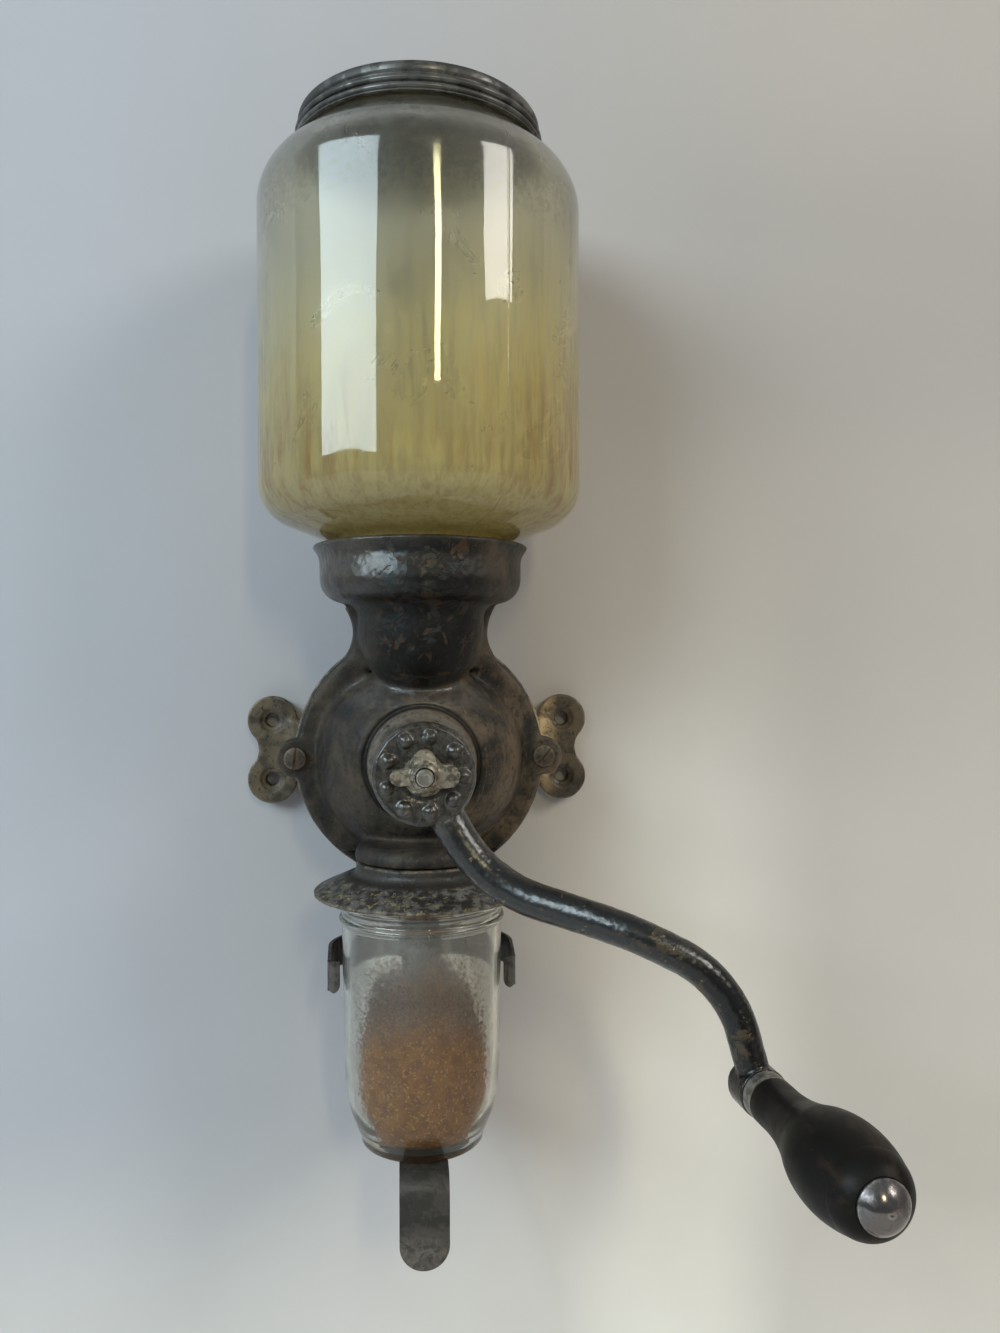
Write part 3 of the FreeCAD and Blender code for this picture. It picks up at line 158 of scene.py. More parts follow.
def subdivide(points: Outline, longest: float) -> Outline:
    """Adds points on a closed outline so that no step is longer than given.

    Args:
        points: corners of the closed outline.
        longest: longest step.

    Returns:
        The finer outline.
    """
    result = []
    for here, there in zip(points, points[1:] + points[:1]):
        gap = math.dist(here, there)
        parts = math.ceil(gap / longest) if gap >= 1e-5 else 0
        for step in range(parts):
            t = step / parts
            result.append((here[0] + (there[0] - here[0]) * t, here[1] + (there[1] - here[1]) * t))
    return result


def skin(mesh: bmesh.types.BMesh, rows: Rows, closed: bool = True) -> None:
    """Spans faces between rows of vertices.

    Args:
        mesh: mesh that is worked on.
        rows: rows of the same length, in order.
        closed: whether a row's last vertex is next to its first.
    """
    for row, following in zip(rows, rows[1:]):
        for step in range(len(row) if closed else len(row) - 1):
            after = (step + 1) % len(row)
            mesh.faces.new((row[step], row[after], following[after], following[step]))


def as_object(mesh: bmesh.types.BMesh, name: str, outward: bool = True) -> Item:
    """Turns a worked mesh into a smooth-shaded object of the scene.

    Args:
        mesh: the worked mesh; it is freed.
        name: name of the object.
        outward: whether the faces are turned to face outward.

    Returns:
        The new object.
    """
    data = bpy.data.meshes.new(name)
    if outward:
        bmesh.ops.recalc_face_normals(mesh, faces=mesh.faces)
    mesh.to_mesh(data)
    mesh.free()
    data.shade_smooth()
    item = bpy.data.objects.new(name, data)
    bpy.context.scene.collection.objects.link(item)
    return item


@dataclass(frozen=True)
class Turned:
    """Shape turned about an upright axis over x = 0 from a closed outline of (radius, height)."""

    axis_y: float
    segments: int = 224
    waviness: float = 0.0
    wave_length: float = 30.0

    def build(self, name: str, outline: Outline) -> Item:
        """Builds the mesh.

        Args:
            name: name of the object.
            outline: closed outline.

        Returns:
            The object.
        """
        mesh = bmesh.new()
        rings = []
        for radius, height in outline:
            ring = []
            for step in range(self.segments):
                angle = 2 * math.pi * step / self.segments
                flat = Vector((math.cos(angle), math.sin(angle), 0))
                reach = radius
                if self.waviness and radius > 1.0:
                    spot = Vector((flat.x * radius, flat.y * radius, height)) / self.wave_length
                    reach += self.waviness * (noise.noise(spot) - 0.3)
                ring.append(mesh.verts.new((flat * reach + Vector((0, self.axis_y, height))) * MM))
            rings.append(ring)
        skin(mesh, rings + rings[:1])
        bmesh.ops.remove_doubles(mesh, verts=mesh.verts, dist=MERGE_GAP)
        bmesh.ops.dissolve_degenerate(mesh, edges=mesh.edges, dist=MERGE_GAP / 4)
        return as_object(mesh, name)

    def line(self, item: Item, lowest: float = -math.inf, floor_top: float = -math.inf) -> None:
        """Gives the inner wall the second material.

        Args:
            item: the turned object.
            lowest: height that the inner wall starts at.
            floor_top: height below which faces that face upward are inner ones too.
        """
        middle = Vector((0, self.axis_y * MM, 0))
        for face in item.data.polygons:
            away = face.center - middle
            away.z = 0
            floor = face.normal.z > 0.5 and face.center.z < floor_top * MM
            inner = face.normal.dot(away) < 0 or floor
            face.material_index = 1 if inner and face.center.z > lowest * MM else 0


@dataclass(frozen=True)
class Blend:
    """Place on a casting where the surfaces run into one another with a wide fillet."""

    centre: Triple
    reach: Triple
    passes: int

    def weight(self, place: Vector) -> float:
        """Share of the fillet at a place.

        Args:
            place: place in metres.

        Returns:
            1 at the centre, falling to 0 at the reach.
        """
        total = sum(((place[k] / MM - self.centre[k]) / self.reach[k]) ** 2 for k in range(3))
        return max(0.0, min(1.0, 2.0 * (1.0 - total)))


@dataclass(frozen=True)
class Flare:
    """Side of the neck that runs out onto the disc."""

    inner_x: float = 20.5
    waist: float = 26.9
    waist_z: float = 49.5
    top_z: float = 61.6
    join_z: float = 37.5
    foot_z: float = 21.0
    top_curve: float = 0.0218
    foot_curve: float = 0.0525
    disc_r: float = 48.6
    front_y: float = -60.4
    foot_y: float = -49.6
    edge_in: float = 1.5
    back_y: float = -40.8
    foot_depth: float = 3.0
    levels: int = 14

    def reach(self, level: float) -> float:
        """Half width of the neck's sides.

        Args:
            level: height.

        Returns:
            The half width.
        """
        curve = self.top_curve if level > self.waist_z else self.foot_curve
        wide = self.waist + curve * (level - self.waist_z) ** 2
        if level < self.disc_r * 0.8:
            wide = min(wide, math.sqrt(self.disc_r ** 2 - level ** 2))
        return wide

    def add(self, mesh: bmesh.types.BMesh, side: float) -> None:
        """Adds the flare on one side to a mesh.

        Args:
            mesh: mesh that is worked on, in metres.
            side: -1 for the left, 1 for the right.
        """
        rings = []
        for step in range(self.levels + 1):
            level = self.foot_z + (self.top_z - self.foot_z) * step / self.levels
            sunk = max(0.0, (self.join_z - level) / (self.join_z - self.foot_z))
            front = self.front_y + (self.foot_y - self.front_y) * sunk
            back = self.back_y if sunk == 0.0 else self.foot_y + self.foot_depth
            wide = self.reach(level)
            corners = ((self.inner_x, front), (wide, front + self.edge_in), (wide, back),
                       (self.inner_x, back))
            rings.append([mesh.verts.new(Vector((side * x, y, level)) * MM) for x, y in corners])
        skin(mesh, rings)
        mesh.faces.new(rings[0])
        mesh.faces.new(rings[-1])


@dataclass(frozen=True)
class Groove:
    """Round groove about the spindle on the front of a casting."""

    radius: float
    half_width: float
    depth: float
    front_y: float

    def work(self, item: Item) -> None:
        """Sinks the groove into a mesh.

        Args:
            item: the casting.
        """
        for vertex in item.data.vertices:
            place = vertex.co
            aside = (math.hypot(place.x, place.z) / MM - self.radius) / self.half_width
            if place.y < self.front_y * MM and abs(aside) < 1.0:
                place.y += self.depth * (1 - aside * aside) * MM


@dataclass(frozen=True)
class Lumps:
    """Unevenness of an old casting; it only takes material away."""

    depth: float
    length: float

    def work(self, item: Item) -> None:
        """Makes a mesh uneven.

        Args:
            item: the casting.
        """
        moves = []
        for vertex in item.data.vertices:
            spot = vertex.co / (self.length * MM)
            height = noise.noise(spot) + 0.5 * noise.noise(spot * 2.3)
            moves.append(vertex.normal * (0.4 * self.depth * (max(-1.2, min(1.0, height)) - 1.0) * MM))
        for vertex, move in zip(item.data.vertices, moves):
            vertex.co += move


@dataclass(frozen=True)
class Studs:
    """Ring of uneven cast knobs on the face of the crank's hub."""

    face_y: float
    circle_r: float = 13.2
    knob_r: float = 2.75
    knob_h: float = 1.9
    first: float = 1.0
    count: int = 9
    field: tuple[float, float] = (9.3, 17.6)

    def height(self, x: float, z: float) -> float:
        """Height of the knobs above the hub's face.

        Args:
            x: place across.
            z: place upwards.

        Returns:
            The height.
        """
        best = 0.0
        for number in range(self.count):
            chance = noise.noise(Vector((number * 3.7, 1.3, 0.6)))
            angle = -math.radians(self.first + 360.0 * number / self.count + 5.0 * chance)
            circle = self.circle_r + 0.8 * noise.noise(Vector((number * 2.9, 7.1, 4.2)))
            aside = math.hypot(x - circle * math.cos(angle), z - circle * math.sin(angle))
            ragged = 1.0 + 0.22 * noise.noise(Vector((x * 0.55, z * 0.55, number)))
            share = aside / (self.knob_r * ragged * (1.0 + 0.15 * chance))
            if share < 1.0:
                best = max(best, self.knob_h * (1.0 + 0.2 * chance) * (1.0 - share * share) ** 0.7)
        return best

    def work(self, item: Item) -> None:
        """Shapes the knobs into the hub's face.

        Args:
            item: the crank.
        """
        for vertex in item.data.vertices:
            place = vertex.co / MM
            away = math.hypot(place.x, place.z)
            if place.y < self.face_y + 0.4 and self.field[0] < away < self.field[1]:
                vertex.co.y = (self.face_y - self.height(place.x, place.z)) * MM


def baked(item: Item) -> Item:
    """Makes an object's modifiers part of its mesh.

    Args:
        item: object with modifiers.

    Returns:
        The same object.
    """
    graph = bpy.context.evaluated_depsgraph_get()
    data = bpy.data.meshes.new_from_object(item.evaluated_get(graph))
    item.modifiers.clear()
    item.data = data
    item.data.name = item.name
    return item


@dataclass(frozen=True)
class Cast:
    """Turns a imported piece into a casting: even fine mesh with softened edges and filled corners."""

    voxel: float
    soften: int
    strength: float = 0.5
    blends: tuple[Blend, ...] = ()
    flare: Flare | None = None
    forms: tuple[Groove | Lumps | Studs, ...] = ()

    def smooth(self, item: Item, passes: int, group: str = "") -> Item:
        """Softens a mesh.

        Args:
            item: the casting.
            passes: number of passes.
            group: name of the vertex group that limits the softening.

        Returns:
            The casting.
        """
        soft = item.modifiers.new("soften", "SMOOTH")
        soft.vertex_group = group
        soft.factor = self.strength
        soft.iterations = passes
        return baked(item)

    def build(self, source: Item, name: str) -> Item:
        """Copies the piece, remeshes it and softens it.

        Args:
            source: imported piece.
            name: name of the new object.

        Returns:
            The new object.
        """
        mesh = bmesh.new()
        mesh.from_mesh(source.data)
        if self.flare:
            self.flare.add(mesh, -1.0)
            self.flare.add(mesh, 1.0)
        item = as_object(mesh, name)
        remesh = item.modifiers.new("grain", "REMESH")
        remesh.mode = "VOXEL"
        remesh.voxel_size = self.voxel * MM
        remesh.use_smooth_shade = True
        item = self.smooth(item, self.soften)
        for blend in self.blends:
            group = item.vertex_groups.new(name="fillet")
            for vertex in item.data.vertices:
                weight = blend.weight(vertex.co)
                if weight > 0.0:
                    group.add([vertex.index], weight, "REPLACE")
            item = self.smooth(item, blend.passes, group.name)
            item.vertex_groups.clear()
        for form in self.forms:
            form.work(item)
        return item


def bevelled(source: Item, name: str, width: float) -> Item:
    """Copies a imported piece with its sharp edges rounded.

    Args:
        source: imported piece.
        name: name of the new object.
        width: width of the rounding.

    Returns:
        The new object.
    """
    mesh = bmesh.new()
    mesh.from_mesh(source.data)
    bmesh.ops.remove_doubles(mesh, verts=mesh.verts, dist=1.5 * MERGE_GAP)
    bmesh.ops.dissolve_limit(mesh, angle_limit=math.radians(0.5), verts=mesh.verts, edges=mesh.edges)
    item = as_object(mesh, name)
    rounding = item.modifiers.new("rounding", "BEVEL")
    rounding.width = width * MM
    rounding.segments = 3
    rounding.limit_method = "ANGLE"
    rounding.angle_limit = math.radians(38)
    item = baked(item)
    item.data.shade_smooth()
    return item


# Node work.


class Graph:
    """Nodes of one material, with a few short words for what the finishes need."""

    def __init__(self, name: str) -> None:
        """Starts a material with a principled shader.

        Args:
            name: name of the material.
        """
        self.material = bpy.data.materials.new(name)
        self.material.use_nodes = True
        self.tree = self.material.node_tree
        self.tree.nodes.clear()
        self.output = self.node("OutputMaterial")
        self.shader = self.node("BsdfPrincipled")
        self.link(self.shader.outputs[0], self.output.inputs["Surface"])
        self.place = self.node("TexCoord").outputs["Object"]
        self.x, self.y, self.z = self.node("SeparateXYZ", Vector=self.place).outputs

    def link(self, source: object, target: Socket) -> None:
        """Feeds a socket from an output, or sets it where a plain value is given.

        Args:
            source: output socket, number or colour.
            target: input socket.
        """
        if isinstance(source, Socket):
            self.tree.links.new(source, target)
        elif isinstance(source, tuple) and len(source) == 3 and target.type == "RGBA":
            target.default_value = (*source, 1.0)
        else:
            target.default_value = source

    def node(self, kind: str, **values: object) -> bpy.types.Node:
        """Adds a node.

        Args:
            kind: kind of node.
            values: value or output for each input; an underscore stands for a space.

        Returns:
            The node.
        """
        node = self.tree.nodes.new("ShaderNode" + kind)
        for name, value in values.items():
            self.link(value, node.inputs[name.replace("_", " ")])
        return node

    def set(self, **values: object) -> None:
        """Sets or feeds sockets of the shader; an underscore stands for a space.

        Args:
            values: value or output for each socket.
        """
        for name, value in values.items():
            self.link(value, self.shader.inputs[name.replace("_", " ")])

    def noise(self, grain: float, detail: float = 4.0, rough: float = 0.55, warp: float = 0.0,
              along: Triple | None = None) -> Socket:
        """Cloudy pattern from 0 to 1.

        Args:
            grain: size of a feature in millimetres.
            detail: number of finer layers.
            rough: weight of the finer layers.
            warp: how far the pattern is distorted.
            along: stretch factors; under 1 lengthens the pattern in that direction.

        Returns:
            The value output.
        """
        place = self.node("Mapping", Vector=self.place, Scale=along).outputs[0] if along else self.place
        return self.node("TexNoise", Vector=place, Scale=1000.0 / grain, Detail=detail, Roughness=rough,
                         Distortion=warp).outputs["Fac"]

    def cells(self, grain: float) -> Socket:
        """Distance to the middle of the nearest cell, for cells of a size in millimetres."""
        return self.node("TexVoronoi", Vector=self.place, Scale=1000.0 / grain).outputs["Distance"]

    def ease(self, value: Socket, low: float, high: float, start: float = 0.0, end: float = 1.0) -> Socket:
        """Smooth step between two levels of a value.

        Args:
            value: value to map.
            low: level that gives start.
            high: level that gives end.
            start: result at and below low.
            end: result at and above high.

        Returns:
            The value output.
        """
        node = self.node("MapRange", Value=value, From_Min=low, From_Max=high, To_Min=start, To_Max=end)
        node.interpolation_type = "SMOOTHSTEP"
        return node.outputs[0]

    def window(self, place: Socket, low: float, high: float, blur: float) -> Socket:
        """1 between two places along a direction, with soft borders.

        Args:
            place: coordinate in metres.
            low: lower border in millimetres.
            high: upper border in millimetres.
            blur: half the width of a border in millimetres.

        Returns:
            The value output.
        """
        rise = self.ease(place, (low - blur) * MM, (low + blur) * MM)
        return self.times(rise, self.ease(place, (high - blur) * MM, (high + blur) * MM, 1.0, 0.0))

    def math(self, operation: str, *values: object) -> Socket:
        """Arithmetic on values, from the first to the last.

        Args:
            operation: name of the operation, such as MULTIPLY.
            values: values or outputs; one is enough for an operation on a single value.

        Returns:
            The value output.
        """
        result = values[0]
        for value in values[1:] or (0.0,):
            node = self.node("Math")
            node.operation = operation
            self.link(result, node.inputs[0])
            self.link(value, node.inputs[1])
            result = node.outputs[0]
        return result

    def times(self, *values: object) -> Socket:
        """Product of values or outputs."""
        return self.math("MULTIPLY", *values)

    def plus(self, *values: object) -> Socket:
        """Total of values or outputs."""
        return self.math("ADD", *values)

    def most(self, *values: object) -> Socket:
        """Largest of values or outputs."""
        return self.math("MAXIMUM", *values)

    def size(self, value: object) -> Socket:
        """Value without its sign."""
        return self.math("ABSOLUTE", value)

    def rest(self, value: object) -> Socket:
        """What a share leaves of 1."""
        return self.math("SUBTRACT", 1.0, value)

    def off_spindle(self) -> Socket:
        """Distance from the spindle's axis in metres."""
        return self.math("SQRT", self.plus(self.math("POWER", self.x, 2.0), self.math("POWER", self.z, 2.0)))

    def mix(self, factor: object, first: object, second: object) -> Socket:
        """Mixes two values.

        Args:
            factor: share of the second.
            first: value or output.
            second: value or output.

        Returns:
            The value output.
        """
        node = self.node("Mix", Factor=factor)
        self.link(first, node.inputs[2])
        self.link(second, node.inputs[3])
        return node.outputs[0]

    def blend(self, factor: object, first: object, second: object) -> Socket:
        """Mixes two colours.

        Args:
            factor: share of the second.
            first: colour or output.
            second: colour or output.

        Returns:
            The colour output.
        """
        node = self.node("Mix", Factor=factor)
        node.data_type = "RGBA"
        self.link(first, node.inputs[6])
        self.link(second, node.inputs[7])
        return node.outputs[2]

    def edges(self, low: float, high: float) -> Socket:
        """1 on convex edges; the pointedness where wear starts and where it is full is given."""
        return self.ease(self.node("NewGeometry").outputs["Pointiness"], low, high)

    def bump(self, height: Socket, depth: float, strength: float = 1.0) -> None:
        """Adds relief to the surface, on top of the relief that is there.

        Args:
            height: value from 0 to 1.
            depth: height in millimetres of a step of 1.
            strength: weight of the relief.
        """
        node = self.node("Bump", Height=height, Strength=strength, Distance=depth * MM)
        target = self.shader.inputs["Normal"]
        if target.is_linked:
            self.link(target.links[0].from_socket, node.inputs["Normal"])
        self.link(node.outputs[0], target)

    def coat_like_base(self) -> None:
        """Lets the coat follow the relief of the base; called after the last relief."""
        self.set(Coat_Normal=self.shader.inputs["Normal"].links[0].from_socket)


# Finishes. Coordinates are in metres; the borders of a window, grain and relief are in millimetres.


@dataclass(frozen=True)
class Finish:
    """Material of one kind of surface."""

    name: str

    def lay(self, g: Graph) -> None:
        """Lays the finish on a graph that has a plain shader."""
        raise NotImplementedError

    def make(self) -> bpy.types.Material:
        """Builds the material.

        Returns:
            The material.
        """
        graph = Graph(self.name)
        self.lay(graph)
        return graph.material


@dataclass(frozen=True)
class PaintedCasting(Finish):
    """Old black japanned iron of the front casting: rubbed brown on the disc, flaked on the neck."""

    paint: Triple = (0.0175, 0.0165, 0.0150)
    rubbed: Triple = (0.130, 0.094, 0.062)
    bare: Triple = (0.17, 0.14, 0.105)
    scratch: Triple = (0.125, 0.085, 0.050)
    side: Triple = (0.125, 0.108, 0.088)
    rust: Triple = (0.055, 0.028, 0.012)
    slate: Triple = (0.016, 0.024, 0.025)
    # Soot black of the flaked neck and the pits, also used as painted shade in the groove round the boss.
    soot_and_shade: Triple = (0.0045, 0.004, 0.0036)
    boss_r: float = 0.0208

    def lay(self, g: Graph) -> None:
        """Lays the paint, its wear and its relief.

        Args:
            g: graph of the material.
        """
        cloud = g.noise(24, 6, 0.62, 0.5)
        worn = g.times(g.ease(g.x, -0.03, 0.045, 0.40, 1.0), g.ease(g.z, -0.046, -0.026, 0.55, 1.0),
                       g.ease(g.z, 0.034, 0.056, 1.0, 0.6))
        colour = g.blend(g.times(g.ease(cloud, 0.36, 0.66), worn), self.paint, self.rubbed)
        grit = g.ease(g.noise(1.1, 5, 0.7), 0.56, 0.70, 0.0, 0.55)
        colour = g.blend(g.times(grit, worn), colour, self.bare)
        lines = g.ease(g.noise(2.6, 5, 0.66, 0.4, (1.0, 1.0, 0.22)), 0.54, 0.64)
        area = g.times(g.window(g.x, 10, 46, 5), g.window(g.z, -42, 44, 8))
        colour = g.blend(g.times(lines, area, 0.65), colour, self.scratch)
        colour, loss = self.flakes(g, colour)
        colour = g.blend(g.ease(g.noise(3.2, 5, 0.72, 0.3), 0.36, 0.50, 0.55, 0.0), colour, self.paint)
        # Painted shade in the groove round the boss and a painted highlight on its edge.
        colour = self.boss(g, colour)
        edge = g.times(g.edges(0.512, 0.58), g.ease(g.noise(7, 5, 0.6), 0.38, 0.60))
        colour = g.blend(g.times(edge, 0.8), colour, self.bare)
        pit = g.ease(g.noise(2.2, 5, 0.7), 0.32, 0.42, 1.0, 0.0)
        colour = g.blend(g.times(pit, 0.7), colour, self.soot_and_shade)
        socket = g.times(g.ease(g.z, 0.058, 0.066), g.ease(g.x, -0.012, 0.008, 1.0, 0.10))
        brow = g.times(g.window(g.x, -26, 24, 8), g.window(g.z, 21.5, 30.5, 2.5))
        shine = g.times(socket, g.ease(g.noise(6, 5), 0.35, 0.60, 0.45, 0.82))
        g.set(Base_Color=colour, Metallic=g.times(edge, 0.5), Specular_IOR_Level=0.22,
              Roughness=g.mix(g.most(socket, brow), g.ease(cloud, 0.3, 0.7, 0.44, 0.60), 0.36),
              Coat_Weight=g.most(shine, brow), Coat_Roughness=0.31)
        g.bump(g.noise(30, 3, 0.5), 0.9, 0.5)
        g.bump(g.ease(g.z, 0.060, 0.086, 1.0, 0.0), 3.2)
        g.bump(g.cells(2.7), 0.26, 0.7)
        g.bump(g.noise(1.0, 4, 0.65), 0.09, 0.6)
        g.bump(loss, 0.16, 0.7)
        g.coat_like_base()

    def boss(self, g: Graph, colour: object) -> Socket:
        """Adds painted shade in the groove round the boss, the boss's greyer side, and a painted highlight
        along the boss's edge.

        Args:
            g: graph of the material.
            colour: colour so far.

        Returns:
            The colour output.
        """
        away = g.plus(g.off_spindle(), -self.boss_r)
        patchy = g.noise(2.4, 5, 0.7)
        side = g.times(g.ease(away, -0.0002, 0.0006, 1.0, 0.0), g.ease(patchy, 0.36, 0.60, 0.25, 0.9))
        colour = g.blend(side, colour, self.side)
        # Painted shade: the groove round the boss is darkened with the soot colour.
        groove = g.times(g.ease(away, -0.0001, 0.0005), g.ease(away, 0.0017, 0.0028, 1.0, 0.0))
        colour = g.blend(g.times(groove, 0.80), colour, self.soot_and_shade)
        # Painted highlight: a thin bare-iron line along the boss's edge.
        painted_rim_highlight = g.times(g.ease(away, -0.0012, -0.0007), g.ease(away, -0.0003, 0.0001, 1.0, 0.0))
        return g.blend(g.times(painted_rim_highlight, g.ease(patchy, 0.42, 0.56, 0.1, 0.8)), colour, self.bare)

    def flakes(self, g: Graph, colour: object) -> tuple[Socket, Socket]:
        """Adds the flaked front of the neck: soot black with rust and slate where the paint is lost.

        Args:
            g: graph of the material.
            colour: colour so far.

        Returns:
            The colour output and the mask of lost paint.
        """
        patch = g.times(g.window(g.x, -17, 21, 5), g.window(g.z, 27, 84, 4), g.window(g.y, -140, -72, 5))
        dark = g.times(patch, g.ease(g.noise(14, 6, 0.6, 0.6), 0.28, 0.40))
        colour = g.blend(dark, colour, self.soot_and_shade)
        loss = g.times(patch, g.ease(g.noise(8, 9, 0.68, 0.9), 0.53, 0.57))
        stain = g.blend(g.ease(g.noise(4, 7, 0.72, 1.0), 0.44, 0.56), self.rust, self.slate)
        return g.blend(loss, colour, stain), loss


@dataclass(frozen=True)
class BackCasting(Finish):
    """Iron of the back casting: dark pan, ears rubbed light brown, flange pitted and dusted."""

    paint: Triple = (0.026, 0.022, 0.018)
    rubbed: Triple = (0.56, 0.41, 0.225)
    bare: Triple = (0.34, 0.27, 0.175)
    grit: Triple = (0.09, 0.075, 0.055)
    ochre: Triple = (0.23, 0.175, 0.085)
    dust: Triple = (0.150, 0.140, 0.130)
    hole: Triple = (0.008, 0.007, 0.006)

    def lay(self, g: Graph) -> None:
        """Lays the paint, the rubbed ears, the dusty flange and the relief.

        Args:
            g: graph of the material.
        """
        right = g.times(g.ease(g.x, 0.044, 0.051), g.ease(g.x, 0.0572, 0.0640, 1.0, 0.15),
                        g.ease(g.z, -0.022, -0.004, 0.35, 1.0))
        ears = g.plus(right, g.ease(g.x, -0.056, -0.042, 0.16, 0.0))
        worn = g.times(ears, g.ease(g.noise(9, 7, 0.66, 0.6), 0.36, 0.56, 0.22, 1.0))
        colour = g.blend(worn, self.paint, self.rubbed)
        colour = g.blend(g.ease(g.noise(1.2, 5, 0.7), 0.57, 0.68, 0.0, 0.6), colour, self.grit)
        flange = g.window(g.z, -51.1, -44.6, 0.5)
        dusty = g.times(g.ease(g.noise(4.5, 6, 0.65, 0.2), 0.44, 0.62), g.ease(g.x, -0.012, 0.020, 0.65, 1.0))
        colour = g.blend(g.times(flange, dusty), colour, self.dust)
        crumbs = g.ease(g.noise(2.6, 6, 0.72, 0.8), 0.56, 0.61)
        colour = g.blend(g.times(flange, crumbs), colour, self.ochre)
        holes = g.ease(g.noise(2.0, 6, 0.7, 0.4), 0.36, 0.43, 1.0, 0.0)
        colour = g.blend(g.times(holes, 0.85), colour, self.hole)
        edge = g.times(g.edges(0.512, 0.575), g.ease(g.noise(5, 5, 0.6), 0.40, 0.60))
        colour = g.blend(g.times(edge, 0.85), colour, self.bare)
        g.set(Base_Color=colour, Metallic=g.times(edge, 0.45), Specular_IOR_Level=0.45,
              Roughness=g.mix(edge, g.ease(g.noise(9, 4), 0.3, 0.7, 0.38, 0.62), 0.34))
        g.bump(g.noise(22, 3, 0.5), 0.8, 0.5)
        g.bump(g.noise(3.0, 5, 0.65), 0.28, 0.6)
        g.bump(g.noise(0.9, 4, 0.65), 0.10, 0.7)
        g.bump(holes, -0.15, 0.6)


@dataclass(frozen=True)
class Enamel(Finish):
    """Thick glossy black enamel, a little pebbly and rubbed through to brown iron in places."""

    paint: Triple = (0.0065, 0.0065, 0.0062)
    rubbed: Triple = (0.085, 0.060, 0.036)
    ochre: Triple = (0.17, 0.125, 0.066)
    dusty: Triple = (0.060, 0.052, 0.042)

    def lay(self, g: Graph) -> None:
        """Lays the enamel, its wear and its relief; the arm's tilt takes the light of the left.

        Args:
            g: graph of the material.
        """
        wear = g.times(g.ease(g.noise(7, 8, 0.68, 0.6), 0.55, 0.62), g.ease(g.x, 0.025, 0.095, 0.10, 0.75))
        spot = g.ease(g.noise(3.4, 6, 0.66, 0.5), 0.63, 0.67)
        edge = g.times(g.edges(0.525, 0.61), g.ease(g.noise(4, 5, 0.6), 0.42, 0.58))
        rub = g.most(wear, g.times(edge, 0.85))
        hub = g.ease(g.off_spindle(), 0.018, 0.024, 1.0, 0.0)
        grimy = g.times(hub, g.ease(g.noise(2.2, 6, 0.7, 0.3), 0.40, 0.60, 0.10, 0.85))
        colour = g.blend(rub, g.blend(grimy, self.paint, self.dusty), self.rubbed)
        colour = g.blend(g.times(spot, 0.85), colour, self.ochre)
        dull = g.plus(g.ease(g.noise(10, 4), 0.35, 0.65, 0.20, 0.32), g.times(hub, 0.10))
        near = g.ease(g.x, 0.070, 0.110, 1.0, 0.30)
        g.set(Base_Color=colour, Roughness=g.mix(g.most(rub, spot), dull, 0.50), Specular_IOR_Level=0.28,
              Coat_Weight=g.times(near, g.rest(rub)), Coat_Roughness=0.29)
        g.bump(g.noise(8, 3, 0.5), 0.55, 0.5)
        g.bump(g.ease(g.x, 0.022, 0.085), 7.0)
        g.bump(g.cells(2.0), 0.11, 0.7)
        g.bump(g.noise(0.9, 3, 0.6), 0.05, 0.5)
        g.bump(rub, -0.08, 0.6)
        g.coat_like_base()


@dataclass(frozen=True)
class WornSteel(Finish):
    """Bare or blackened iron and steel with tarnish, scuffed below a height where one is given."""

    clean: Triple = (0.28, 0.26, 0.23)
    tarnish: Triple = (0.05, 0.042, 0.034)
    cover: float = 0.5
    metal: float = 0.85
    gloss: float = 0.32
    grain: float = 6.0
    scuffed_below: float = -1.0
    scuff: Triple = (0.135, 0.118, 0.098)

    def lay(self, g: Graph) -> None:
        """Lays the metal, its tarnish, its bright edges and its relief.

        Args:
            g: graph of the material.
        """
        mask = g.ease(g.noise(self.grain, 7, 0.62, 0.4), 0.62 - self.cover * 0.4, 0.78 - self.cover * 0.4)
        colour = g.blend(mask, self.clean, self.tarnish)
        colour = g.blend(g.ease(g.noise(1.2, 4), 0.60, 0.72, 0.0, 0.5), colour, self.tarnish)
        bright = g.times(g.edges(0.515, 0.58), g.ease(g.noise(3, 4), 0.40, 0.60, 0.2, 0.9))
        colour = g.blend(bright, colour, tuple(min(1.0, 1.9 * part) for part in self.clean))
        if self.scuffed_below > -1.0:
            low = g.ease(g.z, self.scuffed_below - 0.012, self.scuffed_below, 1.0, 0.0)
            lines = g.ease(g.noise(3.0, 6, 0.7, 0.6), 0.40, 0.62, 0.25, 1.0)
            colour = g.blend(g.times(low, lines), colour, self.scuff)
        g.set(Base_Color=colour, Roughness=g.mix(mask, self.gloss, self.gloss + 0.22),
              Metallic=g.mix(mask, self.metal, self.metal * 0.4))
        g.bump(g.noise(1.5, 4, 0.6), 0.05, 0.6)
        g.bump(g.noise(14, 3), 0.25, 0.4)


